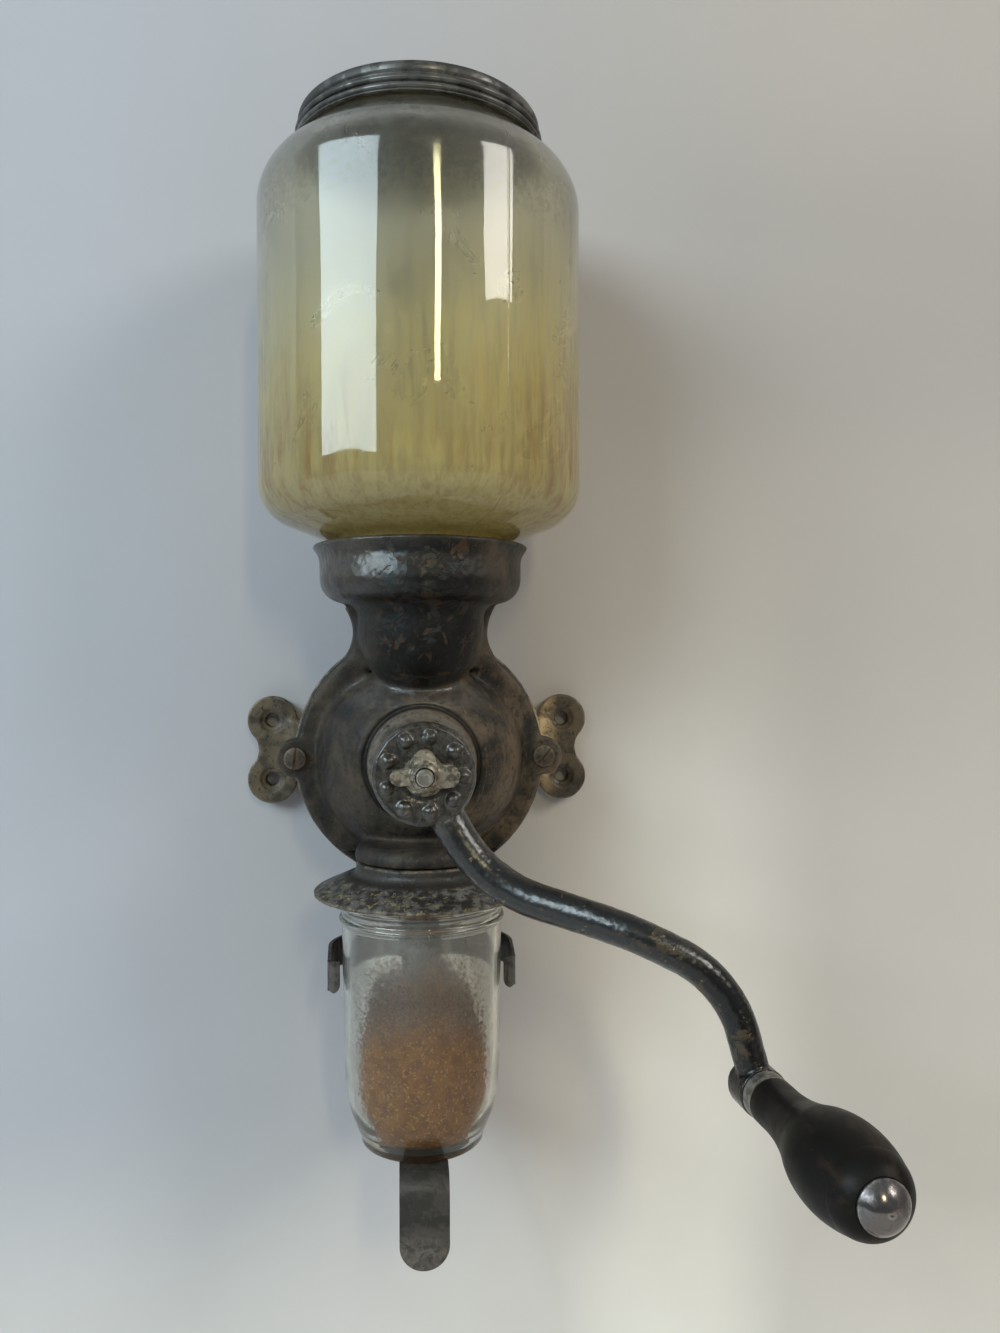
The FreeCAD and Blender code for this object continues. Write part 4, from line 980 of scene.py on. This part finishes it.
@dataclass(frozen=True)
class JarGlass(Finish):
    """Outer wall of the jar: clear old glass, with dust, specks and the line of the mould."""

    tint: Triple = (0.955, 0.95, 0.86)
    speck: Triple = (0.045, 0.026, 0.010)
    dust: Triple = (0.66, 0.64, 0.57)
    seam_turn: float = 28.0

    def lay(self, g: Graph) -> None:
        """Lays the glass, its haze and its specks.

        Args:
            g: graph of the material.
        """
        specks = g.times(g.ease(g.noise(1.5, 3, 0.6), 0.735, 0.765), g.ease(g.z, 0.10, 0.21, 0.9, 0.2))
        haze = g.times(g.ease(g.z, 0.185, 0.225), g.ease(g.noise(3.0, 6, 0.7), 0.40, 0.70, 0.02, 0.10))
        haze = g.plus(haze, g.ease(g.z, 0.085, 0.20, 0.03, 0.0))
        colour = g.blend(specks, g.blend(g.ease(haze, 0.0, 0.03), self.tint, self.dust), self.speck)
        g.set(Base_Color=colour, Roughness=g.ease(g.z, 0.188, 0.232, 0.025, 0.15), IOR=GLASS_IOR,
              Transmission_Weight=g.rest(g.most(haze, specks)))
        g.bump(g.noise(34, 1), 0.22, 0.5)
        g.bump(self.seam(g), 0.12)

    def seam(self, g: Graph) -> Socket:
        """Marks the line of the mould, on an upright plane through the jar's axis.

        Args:
            g: graph of the material.

        Returns:
            1 on the line and 0 beside it.
        """
        angle = math.radians(self.seam_turn)
        depth = g.times(g.plus(g.y, -STAND_AXIS_Y * MM), math.sin(angle))
        return g.ease(g.size(g.plus(g.times(g.x, math.cos(angle)), depth)), 0.00012, 0.0005, 1.0, 0.0)


@dataclass(frozen=True)
class OilFilm(Finish):
    """Inner wall of the jar: streaky yellow-brown oily film, thin at the top and thick at the base; painted
    light on the right and at the foot.
    """

    film: Triple = (0.88, 0.74, 0.30)
    # Tone of the painted light on the right side.
    bright: Triple = (0.98, 0.82, 0.34)
    pale: Triple = (0.66, 0.60, 0.37)
    brown: Triple = (0.50, 0.23, 0.050)
    thick: Triple = (0.50, 0.38, 0.13)
    # Bright cream tone of the foot, painted light through the base.
    base: Triple = (0.97, 0.90, 0.52)
    clean: Triple = (0.92, 0.89, 0.72)
    stained: Triple = (0.92, 0.77, 0.38)

    def lay(self, g: Graph) -> None:
        """Lays the film and its stains.

        Args:
            g: graph of the material.
        """
        low = g.ease(g.z, 0.085, 0.225, 1.0, 0.0)
        streak = g.noise(2.2, 6, 0.66, 0.25, (1.0, 1.0, 0.09))
        # Painted light: on the right below the shoulder the film is thicker, lighter and yellower.
        painted_light_right = g.times(g.ease(g.x, -0.012, 0.034), g.ease(g.z, 0.19, 0.225, 1.0, 0.0))
        cloud = g.noise(30, 6, 0.62, 0.6)
        uneven = g.times(g.ease(streak, 0.28, 0.72, 0.62, 1.22), g.ease(cloud, 0.3, 0.7, 0.80, 1.12))
        film = g.plus(g.times(g.mix(low, 0.03, 0.90), uneven), g.times(painted_light_right, 0.20))
        # Painted light: the foot gets more film and a bright cream tone, standing in for light coming through
        # the base.
        foot = g.ease(g.z, 0.094, 0.112, 1.0, 0.0)
        film = g.math("MINIMUM", g.mix(foot, film, 0.62), 0.97)
        tone = g.blend(g.ease(g.z, 0.15, 0.23), self.film, self.pale)
        tone = g.blend(g.times(painted_light_right, 0.75), tone, self.bright)
        tone = g.blend(g.times(foot, 0.9), tone, self.base)
        tone = g.blend(g.ease(streak, 0.36, 0.54, 0.55, 0.0), tone, self.thick)
        aside = g.ease(g.size(g.plus(g.x, -0.004)), 0.018, 0.050, 0.35, 1.0)
        drips = g.ease(g.noise(5, 7, 0.70, 0.3, (1.0, 1.0, 0.16)), 0.46, 0.64)
        tone = g.blend(g.times(g.ease(g.z, 0.10, 0.175, 1.0, 0.0), drips, aside), tone, self.brown)
        colour = g.blend(film, g.blend(low, self.clean, self.stained), tone)
        g.set(Base_Color=colour, Roughness=g.mix(foot, g.ease(cloud, 0.3, 0.7, 0.24, 0.42), 0.85),
              IOR=GLASS_IOR, Transmission_Weight=g.rest(film), Specular_IOR_Level=0.2)
        g.bump(g.noise(30, 3), 0.3, 0.5)


@dataclass(frozen=True)
class Residue(Finish):
    """Inner wall of the cup: clear glass above, fine brown coffee dust below a humped soft line."""

    dust: Triple = (0.34, 0.155, 0.044)
    deep: Triple = (0.215, 0.098, 0.030)
    grain: Triple = (0.60, 0.34, 0.13)
    mauve: Triple = (0.165, 0.125, 0.105)
    haze: Triple = (0.64, 0.61, 0.54)
    tint: Triple = (0.95, 0.95, 0.91)
    crest: float = -0.083
    half_width: float = 0.0225

    def lay(self, g: Graph) -> None:
        """Lays the dust below its line and a thin haze above it.

        Args:
            g: graph of the material.
        """
        share = g.math("DIVIDE", g.size(g.x), self.half_width)
        drift = g.ease(g.noise(13, 5, 0.6), 0.3, 0.7, -0.003, 0.003)
        line = g.plus(g.z, g.times(share, share, 0.009), drift)
        below = g.ease(line, self.crest - 0.019, self.crest + 0.009, 1.0, 0.0)
        side = g.math("DIVIDE", share, g.ease(g.z, -0.146, -0.122, 0.62, 1.0))
        crumbs = g.plus(g.times(below, g.ease(side, 0.84, 1.10, 1.0, 0.0)),
                        g.ease(g.noise(1.3, 5, 0.75), 0.3, 0.7, -0.42, 0.42))
        brown = g.ease(crumbs, 0.16, 0.66, 0.0, 0.99)
        haze = g.ease(g.noise(7, 6, 0.62, 0.3, (1.0, 1.0, 0.4)), 0.3, 0.75, 0.01, 0.10)
        upper = g.ease(line, self.crest - 0.022, self.crest - 0.004)
        dust = g.blend(g.ease(g.noise(4, 7, 0.7), 0.36, 0.64), self.dust, self.deep)
        dust = g.blend(g.ease(g.noise(1.1, 4, 0.7), 0.56, 0.64, 0.0, 0.85), dust, self.grain)
        dust = g.blend(g.times(upper, 0.7), dust, self.mauve)
        cover = g.most(brown, haze)
        tone = g.blend(g.ease(brown, 0.0, 0.06), self.haze, dust)
        g.set(Base_Color=g.blend(g.ease(cover, 0.0, 0.12), self.tint, tone), IOR=GLASS_IOR,
              Roughness=g.mix(cover, 0.05, 0.7), Transmission_Weight=g.rest(cover), Specular_IOR_Level=0.15)
        g.bump(g.noise(1.6, 4), 0.05, 0.5)


@dataclass(frozen=True)
class CupGlass(Finish):
    """Clear pressed glass, a little hazy and wavy."""

    tint: Triple = (0.96, 0.955, 0.90)
    haze: Triple = (0.68, 0.65, 0.56)
    # Colour of the painted shade on the foot.
    foot: Triple = (0.10, 0.085, 0.06)

    def lay(self, g: Graph) -> None:
        """Lays the glass, its haze and the painted shade of its thick foot.

        Args:
            g: graph of the material.
        """
        aside = g.ease(g.size(g.x), 0.017, 0.028, 0.25, 1.0)
        haze = g.times(g.ease(g.noise(9, 6, 0.6, 0.3, (1.0, 1.0, 0.4)), 0.35, 0.75, 0.03, 0.10),
                       g.most(aside, g.ease(g.z, -0.088, -0.068)))
        colour = g.blend(haze, self.tint, self.haze)
        # Painted shade: the bottom of the thick foot is darkened.
        colour = g.blend(g.ease(g.z, -0.1465, -0.141, 0.75, 0.0), colour, self.foot)
        g.set(Base_Color=colour, Roughness=0.05, IOR=GLASS_IOR, Transmission_Weight=g.rest(haze))
        g.bump(g.noise(14, 1), 0.2, 0.5)


@dataclass(frozen=True)
class Wood(Finish):
    """Black lacquered turned wood, rubbed where the hand holds it."""

    lacquer: Triple = (0.0085, 0.0075, 0.0068)
    rubbed: Triple = (0.034, 0.021, 0.013)
    nick: Triple = (0.11, 0.085, 0.055)

    def lay(self, g: Graph) -> None:
        """Lays the lacquer, its wear and the grain.

        Args:
            g: graph of the material.
        """
        grain = g.noise(2.2, 6, 0.6, 0.2, (1.0, 0.10, 1.0))
        wear = g.times(g.ease(g.noise(14, 5), 0.45, 0.65), g.ease(grain, 0.4, 0.6), 0.7)
        colour = g.blend(wear, self.lacquer, self.rubbed)
        colour = g.blend(g.ease(g.noise(3.0, 5, 0.7, 0.6), 0.68, 0.71), colour, self.nick)
        g.set(Base_Color=colour, Roughness=g.ease(g.noise(10, 4), 0.3, 0.7, 0.36, 0.50),
              Specular_IOR_Level=0.11)
        g.bump(grain, 0.07, 0.5)
        g.bump(g.noise(12, 3), 0.2, 0.4)


@dataclass(frozen=True)
class Matt(Finish):
    """Soft matt stuff such as cork and card."""

    light: Triple = (0.30, 0.21, 0.13)
    dark: Triple = (0.10, 0.065, 0.04)
    grain: float = 2.5

    def lay(self, g: Graph) -> None:
        """Lays the speckle and its relief.

        Args:
            g: graph of the material.
        """
        speckle = g.noise(self.grain, 5, 0.6)
        g.set(Base_Color=g.blend(g.ease(speckle, 0.4, 0.62), self.light, self.dark),
              Roughness=g.ease(speckle, 0.3, 0.7, 0.8, 0.95))
        g.bump(speckle, 0.2, 0.6)


@dataclass(frozen=True)
class Plaster(Finish):
    """Smooth pale wall with painted light: cool tint on the left, warm tint on the right, lighter at the
    lower right, near the floor and behind the jar and the cup, and painted shade at the upper right.
    """

    cool: Triple = (0.455, 0.465, 0.520)
    warm: Triple = (0.490, 0.442, 0.412)
    lit: Triple = (0.82, 0.77, 0.71)
    cloudy: Triple = (0.36, 0.35, 0.34)
    shade: Triple = (0.28, 0.27, 0.27)

    def lay(self, g: Graph) -> None:
        """Lays the wall's tones and its painted light and shade; seen from behind, the wall is clear.

        Args:
            g: graph of the material.
        """
        # Painted light: the cool and warm tints stand in for the colour of the light from each side.
        colour = g.blend(g.ease(g.x, -0.20, 0.22), self.cool, self.warm)
        # Painted light: a lighter corner at the lower right, a lighter band near the floor, and lighter
        # patches behind the jar and the cup where light comes through the glass.
        corner = g.times(g.ease(g.x, 0.02, 0.11), g.ease(g.z, -0.16, 0.20, 1.0, 0.0),
                         g.ease(g.x, 0.13, 0.20, 1.0, 0.3), g.ease(g.z, -0.40, -0.27))
        behind_jar = g.times(g.window(g.x, -50, 50, 12), g.window(g.z, 108, 215, 18))
        behind_cup = g.times(g.window(g.x, -29, 29, 6), g.window(g.z, -160, -76, 8))
        light = g.most(corner, g.ease(g.z, -0.27, -0.15, 0.50, 0.0), behind_jar, behind_cup)
        colour = g.blend(light, colour, self.lit)
        colour = g.blend(g.ease(g.noise(120, 4, 0.55), 0.3, 0.7, 0.0, 0.12), colour, self.cloudy)
        # Painted shade: the upper right of the wall is darkened.
        upper = g.times(g.ease(g.x, 0.05, 0.16), g.window(g.z, 150, 285, 45), 0.30)
        g.set(Base_Color=g.blend(upper, colour, self.shade), Roughness=0.7)
        g.bump(g.noise(8, 4, 0.6), 0.12, 0.3)
        choice = g.node("MixShader")
        g.link(g.node("NewGeometry").outputs["Backfacing"], choice.inputs[0])
        g.link(g.shader.outputs[0], choice.inputs[1])
        g.link(g.node("BsdfTransparent").outputs[0], choice.inputs[2])
        g.link(choice.outputs[0], g.output.inputs["Surface"])


# Sub-assemblies. Their sizes are in millimetres.


def dress(item: Item, *materials: bpy.types.Material) -> None:
    """Gives an object its materials in order.

    Args:
        item: object to dress.
        materials: materials, one for each slot.
    """
    item.data.materials.clear()
    for material in materials:
        item.data.materials.append(material)


def join_frame(item: Item, body: str, slot: str, *nodes: str) -> None:
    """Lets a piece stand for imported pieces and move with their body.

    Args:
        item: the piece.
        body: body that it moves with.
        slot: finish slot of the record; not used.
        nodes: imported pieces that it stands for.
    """
    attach(item, body)
    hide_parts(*nodes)
    LOG.info("%s on %s: %d faces", item.name, body, len(item.data.polygons))


@dataclass
class Hopper:
    """Glass jar, cap, liner and gasket."""

    axis_y: float = STAND_AXIS_Y
    foot_z: float = 70.5
    stem_r: float = 34.5
    stem_h: float = 15.0
    side_r: float = 62.5
    side_h: float = 106.0
    base_round: float = 15.5
    base_slope: float = 21.0
    shoulder_round: float = 20.0
    shoulder_slope: float = 40.0
    finish_r: float = 45.4
    finish_h: float = 9.0
    wall: float = 3.6
    lip: float = 1.0
    stem_soft: float = 3.5
    finish_soft: float = 2.0
    cap_gap: float = 0.7
    cap_sheet: float = 1.2

    def levels(self, inset: float) -> Outline:
        """Outline of the jar from the stem to the finish, drawn in by a wall thickness.

        Args:
            inset: wall thickness in millimetres, 0 for the outside.

        Returns:
            The open outline, without its two ends.
        """
        slope = math.radians(self.base_slope)
        fall = math.radians(self.shoulder_slope)
        outer_end = self.side_r - self.base_round * (1 - math.sin(slope))
        base_z = (self.foot_z + self.stem_h + (outer_end - self.stem_r) * math.tan(slope)
                  + self.base_round * math.cos(slope))
        base = arc((self.side_r - self.base_round, base_z), self.base_round - inset,
                   self.base_slope - 90, 0, 16)
        top = arc((self.side_r - self.shoulder_round, base_z + self.side_h), self.shoulder_round - inset,
                  0, 90 - self.shoulder_slope, 18)
        stem = self.stem_r - inset
        finish = self.finish_r - inset
        stem_z = base[0][1] - (base[0][0] - stem) * math.tan(slope)
        finish_z = top[-1][1] + (top[-1][0] - finish) * math.tan(fall)
        return [(stem, stem_z)] + base + top + [(finish, finish_z)]

    def jar(self) -> Item:
        """Builds the jar with rounded lips and slightly wavy walls.

        Returns:
            The jar.
        """
        outside = self.levels(0.0)
        lip_top = outside[-1][1] + self.finish_h - self.lip
        lip_foot = self.foot_z + self.lip
        inner = self.wall - self.lip
        upper = (arc((self.finish_r - self.lip, lip_top), self.lip, 0, 90, 4)
                 + arc((self.finish_r - inner, lip_top), self.lip, 90, 180, 4))
        lower = (arc((self.stem_r - inner, lip_foot), self.lip, 180, 270, 4)
                 + arc((self.stem_r - self.lip, lip_foot), self.lip, 270, 360, 4))
        hollow = self.soften(self.levels(self.wall))
        turned = Turned(self.axis_y, segments=256, waviness=0.10, wave_length=26.0)
        item = turned.build("jar", subdivide(self.soften(outside) + upper + hollow[::-1] + lower, 2.2))
        dress(item, JarGlass("jar_glass").make(), OilFilm("jar_inner").make())
        turned.line(item)
        return item

    def soften(self, points: Outline) -> Outline:
        """Rounds the two corners at the ends of the jar's outline.

        Args:
            points: open outline from stem to finish.

        Returns:
            The outline with the corners at stem and finish rounded.
        """
        foot = (points[0][0], points[0][1] - 10)
        head = (points[-1][0], points[-1][1] + 6)
        return (cut_corner(foot, points[0], points[1], self.stem_soft) + points[1:-1]
                + cut_corner(points[-2], points[-1], head, self.finish_soft))

    def cap(self) -> Item:
        """Builds the cap: flat top, groove and two rolled ridges.

        Returns:
            The cap.
        """
        low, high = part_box("jar_cap")
        bottom = low.z / MM
        top = high.z / MM
        drop = top - bottom
        inner = self.finish_r + self.cap_gap
        outer = inner + self.cap_sheet
        groove = top - drop * 0.42
        outline = [(0.0, top - self.cap_sheet), (0.0, top), (outer - 6, top)]
        outline += smooth_line([(outer - 2.6, top), (outer - 1.0, top - 0.5), (outer - 0.3, top - 1.7),
                                (outer - 0.3, groove + 1.2), (outer - 0.9, groove + 0.1),
                                (outer, groove - 0.9)], 6)
        for share in (0.17, 0.41):
            outline += arc((outer - 0.35, groove - drop * share), 1.2, 90, -90, 12)
        outline += smooth_line([(outer - 0.05, bottom + 1.4), (outer + 0.3, bottom + 0.7),
                                (outer + 0.6, bottom + 0.25), (outer + 0.2, bottom),
                                (inner, bottom + 0.1)], 4)
        outline += [(inner, top - 3.0), (inner - 0.6, top - 1.8), (inner - 2, top - self.cap_sheet)]
        item = Turned(self.axis_y).build("cap", subdivide(outline, 2.5))
        dress(item, WornSteel("cap_tin", (0.125, 0.122, 0.115), (0.034, 0.032, 0.029), cover=0.55,
                              metal=0.45, gloss=0.30, grain=9.0).make())
        return item

    def build(self, nodes: Nodes) -> None:
        """Builds the hopper's pieces and hands them to the frame.

        Args:
            nodes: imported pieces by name.
        """
        join_frame(self.jar(), "housing", "jar_glass", "hopper_jar")
        join_frame(self.cap(), "cap", "cap_tin", "jar_cap")
        dress(nodes["cap_liner"], Matt("card", (0.10, 0.085, 0.06), (0.05, 0.04, 0.03)).make())
        dress(nodes["jar_gasket"], Matt("cork").make())


@dataclass
class Castings:
    """Front and back castings and what is fixed to them."""

    voxel: float = 0.75
    soften: int = 3

    def build(self, nodes: Nodes) -> None:
        """Builds the castings and dresses the small pieces in them.

        Args:
            nodes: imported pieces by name.
        """
        blends = (Blend((0.0, -76.0, 36.0), (34.0, 26.0, 18.0), 60),
                  Blend((0.0, -76.0, -33.0), (34.0, 30.0, 12.0), 40),
                  Blend((-31.0, -56.0, 35.0), (19.0, 20.0, 24.0), 110),
                  Blend((31.0, -56.0, 35.0), (19.0, 20.0, 24.0), 110))
        forms = (Groove(radius=21.9, half_width=1.2, depth=0.8, front_y=-70.0),
                 Lumps(depth=0.22, length=9.0))
        cast = Cast(self.voxel, self.soften, blends=blends, flare=Flare(), forms=forms)
        front = cast.build(nodes["front_housing"], "front_casting")
        dress(front, PaintedCasting("cast_iron").make())
        join_frame(front, "housing", "cast_iron", "front_housing")
        cast = Cast(self.voxel, self.soften, forms=(Lumps(depth=0.25, length=7.0),))
        back = cast.build(nodes["back_housing"], "back_casting")
        dress(back, BackCasting("cast_iron_back").make())
        join_frame(back, "housing", "cast_iron_back", "back_housing")
        finishes = {
            ("burr_screws", "burr_pin", "strap_screws"):
                WornSteel("screw_steel", (0.13, 0.11, 0.09), (0.03, 0.024, 0.018), cover=0.6, metal=0.6),
            ("housing_screws",):
                WornSteel("lug_screw", (0.070, 0.050, 0.034), (0.022, 0.017, 0.012), cover=0.55, metal=0.3,
                          gloss=0.42, grain=3.0),
            ("outer_burr", "inner_burr", "feed_worm"):
                WornSteel("burr_iron", (0.16, 0.15, 0.14), (0.05, 0.04, 0.03), cover=0.45, metal=0.8,
                          gloss=0.4),
            ("rear_bushing",):
                WornSteel("bush_brass", (0.50, 0.36, 0.14), (0.18, 0.11, 0.04)),
            ("spindle", "thrust_washer"):
                WornSteel("spindle_steel", (0.30, 0.28, 0.25), (0.10, 0.085, 0.065)),
        }
        for names, finish in finishes.items():
            material = finish.make()
            for name in names:
                dress(nodes[name], material)


@dataclass
class Crank:
    """Crank arm, thumb nut and grip."""

    face_gap: float = 0.05

    def build(self, nodes: Nodes) -> None:
        """Builds the crank's pieces and hands them to the frame.

        Args:
            nodes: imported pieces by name.
        """
        face_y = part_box("adjusting_nut")[1].y / MM + self.face_gap
        forms = (Studs(face_y), Lumps(depth=0.30, length=4.5))
        arm = Cast(voxel=0.5, soften=5, forms=forms).build(nodes["crank_arm"], "crank")
        dress(arm, Enamel("crank_enamel").make())
        join_frame(arm, "crank", "crank_enamel", "crank_arm")
        cast = Cast(voxel=0.3, soften=4, forms=(Lumps(depth=0.7, length=2.8),))
        nut = cast.build(nodes["adjusting_nut"], "thumb_nut")
        dress(nut, WornSteel("nut_iron", (0.27, 0.235, 0.18), (0.060, 0.048, 0.034), cover=0.45, metal=0.4,
                             gloss=0.38, grain=2.6).make())
        join_frame(nut, "nut", "nut_iron", "adjusting_nut")
        dress(nodes["grip"], Wood("grip_wood").make())
        dress(nodes["grip_ferrule"], WornSteel("ferrule_steel", (0.16, 0.145, 0.125)).make())
        dress(nodes["grip_rivet"], WornSteel("rivet_steel", (0.200, 0.180, 0.176), (0.07, 0.06, 0.06),
                                             cover=0.35, metal=0.9, gloss=0.16).make())


@dataclass
class CupAndHolder:
    """Catch cup and the spring holder that carries it."""

    axis_y: float = STAND_AXIS_Y
    side_r: float = 30.7
    rim_r: float = 32.4
    wall: float = 2.6
    floor_t: float = 5.0
    height: float = 96.0
    foot_r: float = 24.0
    shoulder_h: float = 30.0
    bead_pitch: float = 5.2

    def cup(self) -> Item:
        """Builds the pressed cup with the beads at its rim and its thick foot.

        Returns:
            The cup.
        """
        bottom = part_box("catch_cup")[0].z / MM
        top = bottom + self.height
        bead = self.rim_r - self.side_r
        side = self.side_r + 0.5
        outline = [(0.0, bottom + 1.0), (self.foot_r - 5, bottom + 0.9), (self.foot_r - 3, bottom + 0.05)]
        outline += arc((self.foot_r - 1.2, bottom + 1.2), 1.2, -90, 0, 5)
        outline += smooth_line([(self.foot_r + 0.35, bottom + 3.2), (26.4, bottom + 8.0),
                                (28.6, bottom + self.shoulder_h * 0.5),
                                (self.side_r - 0.3, bottom + self.shoulder_h),
                                (side, top - 2.6 * self.bead_pitch)], 7)
        for share in (1.7, 0.62):
            outline += arc((side, top - share * self.bead_pitch), bead - 0.5, -90, 90, 10)
        outline += arc((side - 1.0, top - 0.9), 0.9, 20, 150, 6)
        inner = self.side_r - self.wall
        floor_z = bottom + self.floor_t
        outline += smooth_line([(inner + 0.9, top - 1.6), (inner + 0.5, top - 8), (inner + 0.1, bottom + 46),
                                (inner - 0.3, floor_z + 22.0), (inner - 2.4, floor_z + 8.5),
                                (inner - 7.5, floor_z + 1.6), (inner - 14.0, floor_z), (8.0, floor_z)], 7)
        outline += [(0.0, floor_z)]
        turned = Turned(self.axis_y, waviness=0.06, wave_length=14.0)
        item = turned.build("cup", subdivide(outline, 1.6))
        dress(item, CupGlass("cup_glass").make(), Residue("cup_residue").make())
        turned.line(item, lowest=bottom + 3, floor_top=bottom + 30)
        return item

    def build(self, nodes: Nodes) -> None:
        """Builds the cup and the holder, with the holder's edges worn round.

        Args:
            nodes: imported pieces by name.
        """
        join_frame(self.cup(), "cup", "cup_glass", "catch_cup")
        iron = WornSteel("strap_iron", (0.052, 0.046, 0.040), (0.018, 0.016, 0.013), cover=0.55, metal=0.25,
                         gloss=0.48, scuffed_below=-0.163).make()
        for node, name, width in (("holder_strap", "strap", 0.35), ("holder_arms", "cross_band", 0.3)):
            item = bevelled(nodes[node], name, width)
            dress(item, iron)
            join_frame(item, "holder", "strap_iron", node)
        dress(nodes["holder_rivets"], iron)


# Stage. Its sizes are in metres.


@dataclass
class Lamp:
    """Flat lamp that stands where the jar's reflections show it."""

    name: str
    side: Side
    azimuth: tuple[float, float]
    elevation: tuple[float, float]
    radiance: float
    colour: Triple
    distance: float = 3.0

    def span(self, angles: tuple[float, float]) -> float:
        """Width that fills the angle between two directions, in degrees."""
        return 2 * self.distance * math.tan(math.radians(angles[1] - angles[0]) / 2)

    def build(self, target: Vector) -> None:
        """Places the lamp so that it fills its angles, seen from the target.

        Args:
            target: place that the angles are seen from, in metres.
        """
        azimuth = math.radians(sum(self.azimuth) / 2) * self.side.value
        elevation = math.radians(sum(self.elevation) / 2)
        away = Vector((math.sin(azimuth) * math.cos(elevation), -math.cos(azimuth) * math.cos(elevation),
                       math.sin(elevation)))
        data = bpy.data.lights.new(self.name, "AREA")
        data.shape = "RECTANGLE"
        data.size = self.span(self.azimuth)
        data.size_y = self.span(self.elevation)
        data.color = self.colour
        data.energy = 4 * self.radiance * data.size * data.size_y
        item = bpy.data.objects.new(self.name, data)
        item.location = target + away * self.distance
        item.rotation_euler = away.to_track_quat("Z", "Y").to_euler()
        bpy.context.scene.collection.objects.link(item)


@dataclass
class Studio:
    """Wall, floor, lamps, surroundings and camera."""

    wall_y: float = 0.0008
    sweep_top: float = -0.26
    sweep_r: float = 0.20
    half_width: float = 1.6
    top: float = 1.6
    front: float = -1.4
    below: Triple = (0.10, 0.095, 0.09)
    above: Triple = (0.42, 0.45, 0.50)
    room_light: float = 0.5
    lens: float = 27.007
    eye: Triple = (-0.00725, -0.45935, 0.03857)
    jar_middle: Triple = (0.0, -0.064, 0.16)

    def backdrop(self) -> None:
        """Builds the wall that sweeps into the floor."""
        line = [(self.wall_y, self.top), (self.wall_y, 0.5), (self.wall_y, self.sweep_top)]
        for step in range(1, SWEEP_STEPS + 1):
            angle = math.radians(90 * step / SWEEP_STEPS)
            line.append((self.wall_y - self.sweep_r * (1 - math.cos(angle)),
                         self.sweep_top - self.sweep_r * math.sin(angle)))
        line.append((self.front, self.sweep_top - self.sweep_r))
        mesh = bmesh.new()
        rows = [[mesh.verts.new((x, y, z)) for x in (self.half_width, -self.half_width)] for y, z in line]
        skin(mesh, rows, closed=False)
        item = as_object(mesh, "backdrop", outward=False)
        dress(item, Plaster("plaster").make())

    def surroundings(self) -> None:
        """Sets the soft light of the room, brighter from above than from below."""
        world = bpy.data.worlds.new("room")
        world.use_nodes = True
        tree = world.node_tree
        back = tree.nodes["Background"]
        place = tree.nodes.new("ShaderNodeTexCoord")
        split = tree.nodes.new("ShaderNodeSeparateXYZ")
        level = tree.nodes.new("ShaderNodeMapRange")
        mix = tree.nodes.new("ShaderNodeMix")
        mix.data_type = "RGBA"
        mix.inputs[6].default_value = (*self.below, 1)
        mix.inputs[7].default_value = (*self.above, 1)
        level.inputs["From Min"].default_value = -0.5
        level.inputs["From Max"].default_value = 0.6
        tree.links.new(place.outputs["Generated"], split.inputs[0])
        tree.links.new(split.outputs["Z"], level.inputs["Value"])
        tree.links.new(level.outputs[0], mix.inputs["Factor"])
        tree.links.new(mix.outputs[2], back.inputs["Color"])
        back.inputs["Strength"].default_value = self.room_light
        bpy.context.scene.world = world

    def camera(self) -> None:
        """Sets the camera where the photo was taken from."""
        right = Vector((0.99529355, -0.09685947, -0.00299997))
        up = Vector((0.00337328, 0.00369062, 0.9999875))
        forward = Vector((0.09684718, 0.99529123, -0.00399999))
        data = bpy.data.cameras.new("camera")
        data.lens = self.lens
        data.sensor_width = 36.0
        data.clip_start = 0.01
        item = bpy.data.objects.new("camera", data)
        turn = Matrix((right, up, -forward)).transposed().to_4x4()
        item.matrix_world = Matrix.Translation(self.eye) @ turn
        bpy.context.scene.collection.objects.link(item)
        bpy.context.scene.camera = item

    def build(self) -> None:
        """Builds the stage."""
        self.backdrop()
        self.surroundings()
        self.camera()
        lamps = (Lamp("window", Side.LEFT, (31, 69.5), (11, 34), 7.6, (0.76, 0.93, 1.0)),
                 Lamp("slit", Side.RIGHT, (8.8, 12.4), (15.2, 27), 25.0, (1.0, 0.91, 0.52)),
                 Lamp("door", Side.RIGHT, (44, 64), (19.5, 35), 9.2, (1.0, 0.96, 0.88)))
        for lamp in lamps:
            lamp.build(Vector(self.jar_middle))
        bpy.context.scene.view_settings.view_transform = "Standard"
        LOG.info("stage ready with %d lamps", len(lamps))


def main() -> None:
    """Builds the whole scene."""
    logging.basicConfig(level=logging.INFO, format="%(message)s")
    for item in list(bpy.data.objects):
        bpy.data.objects.remove(item)
    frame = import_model()
    nodes = frame["nodes"]
    Studio().build()
    for assembly in (Hopper(), Castings(), Crank(), CupAndHolder()):
        assembly.build(nodes)
    LOG.info("sizes written")


if __name__ == "__main__":
    main()
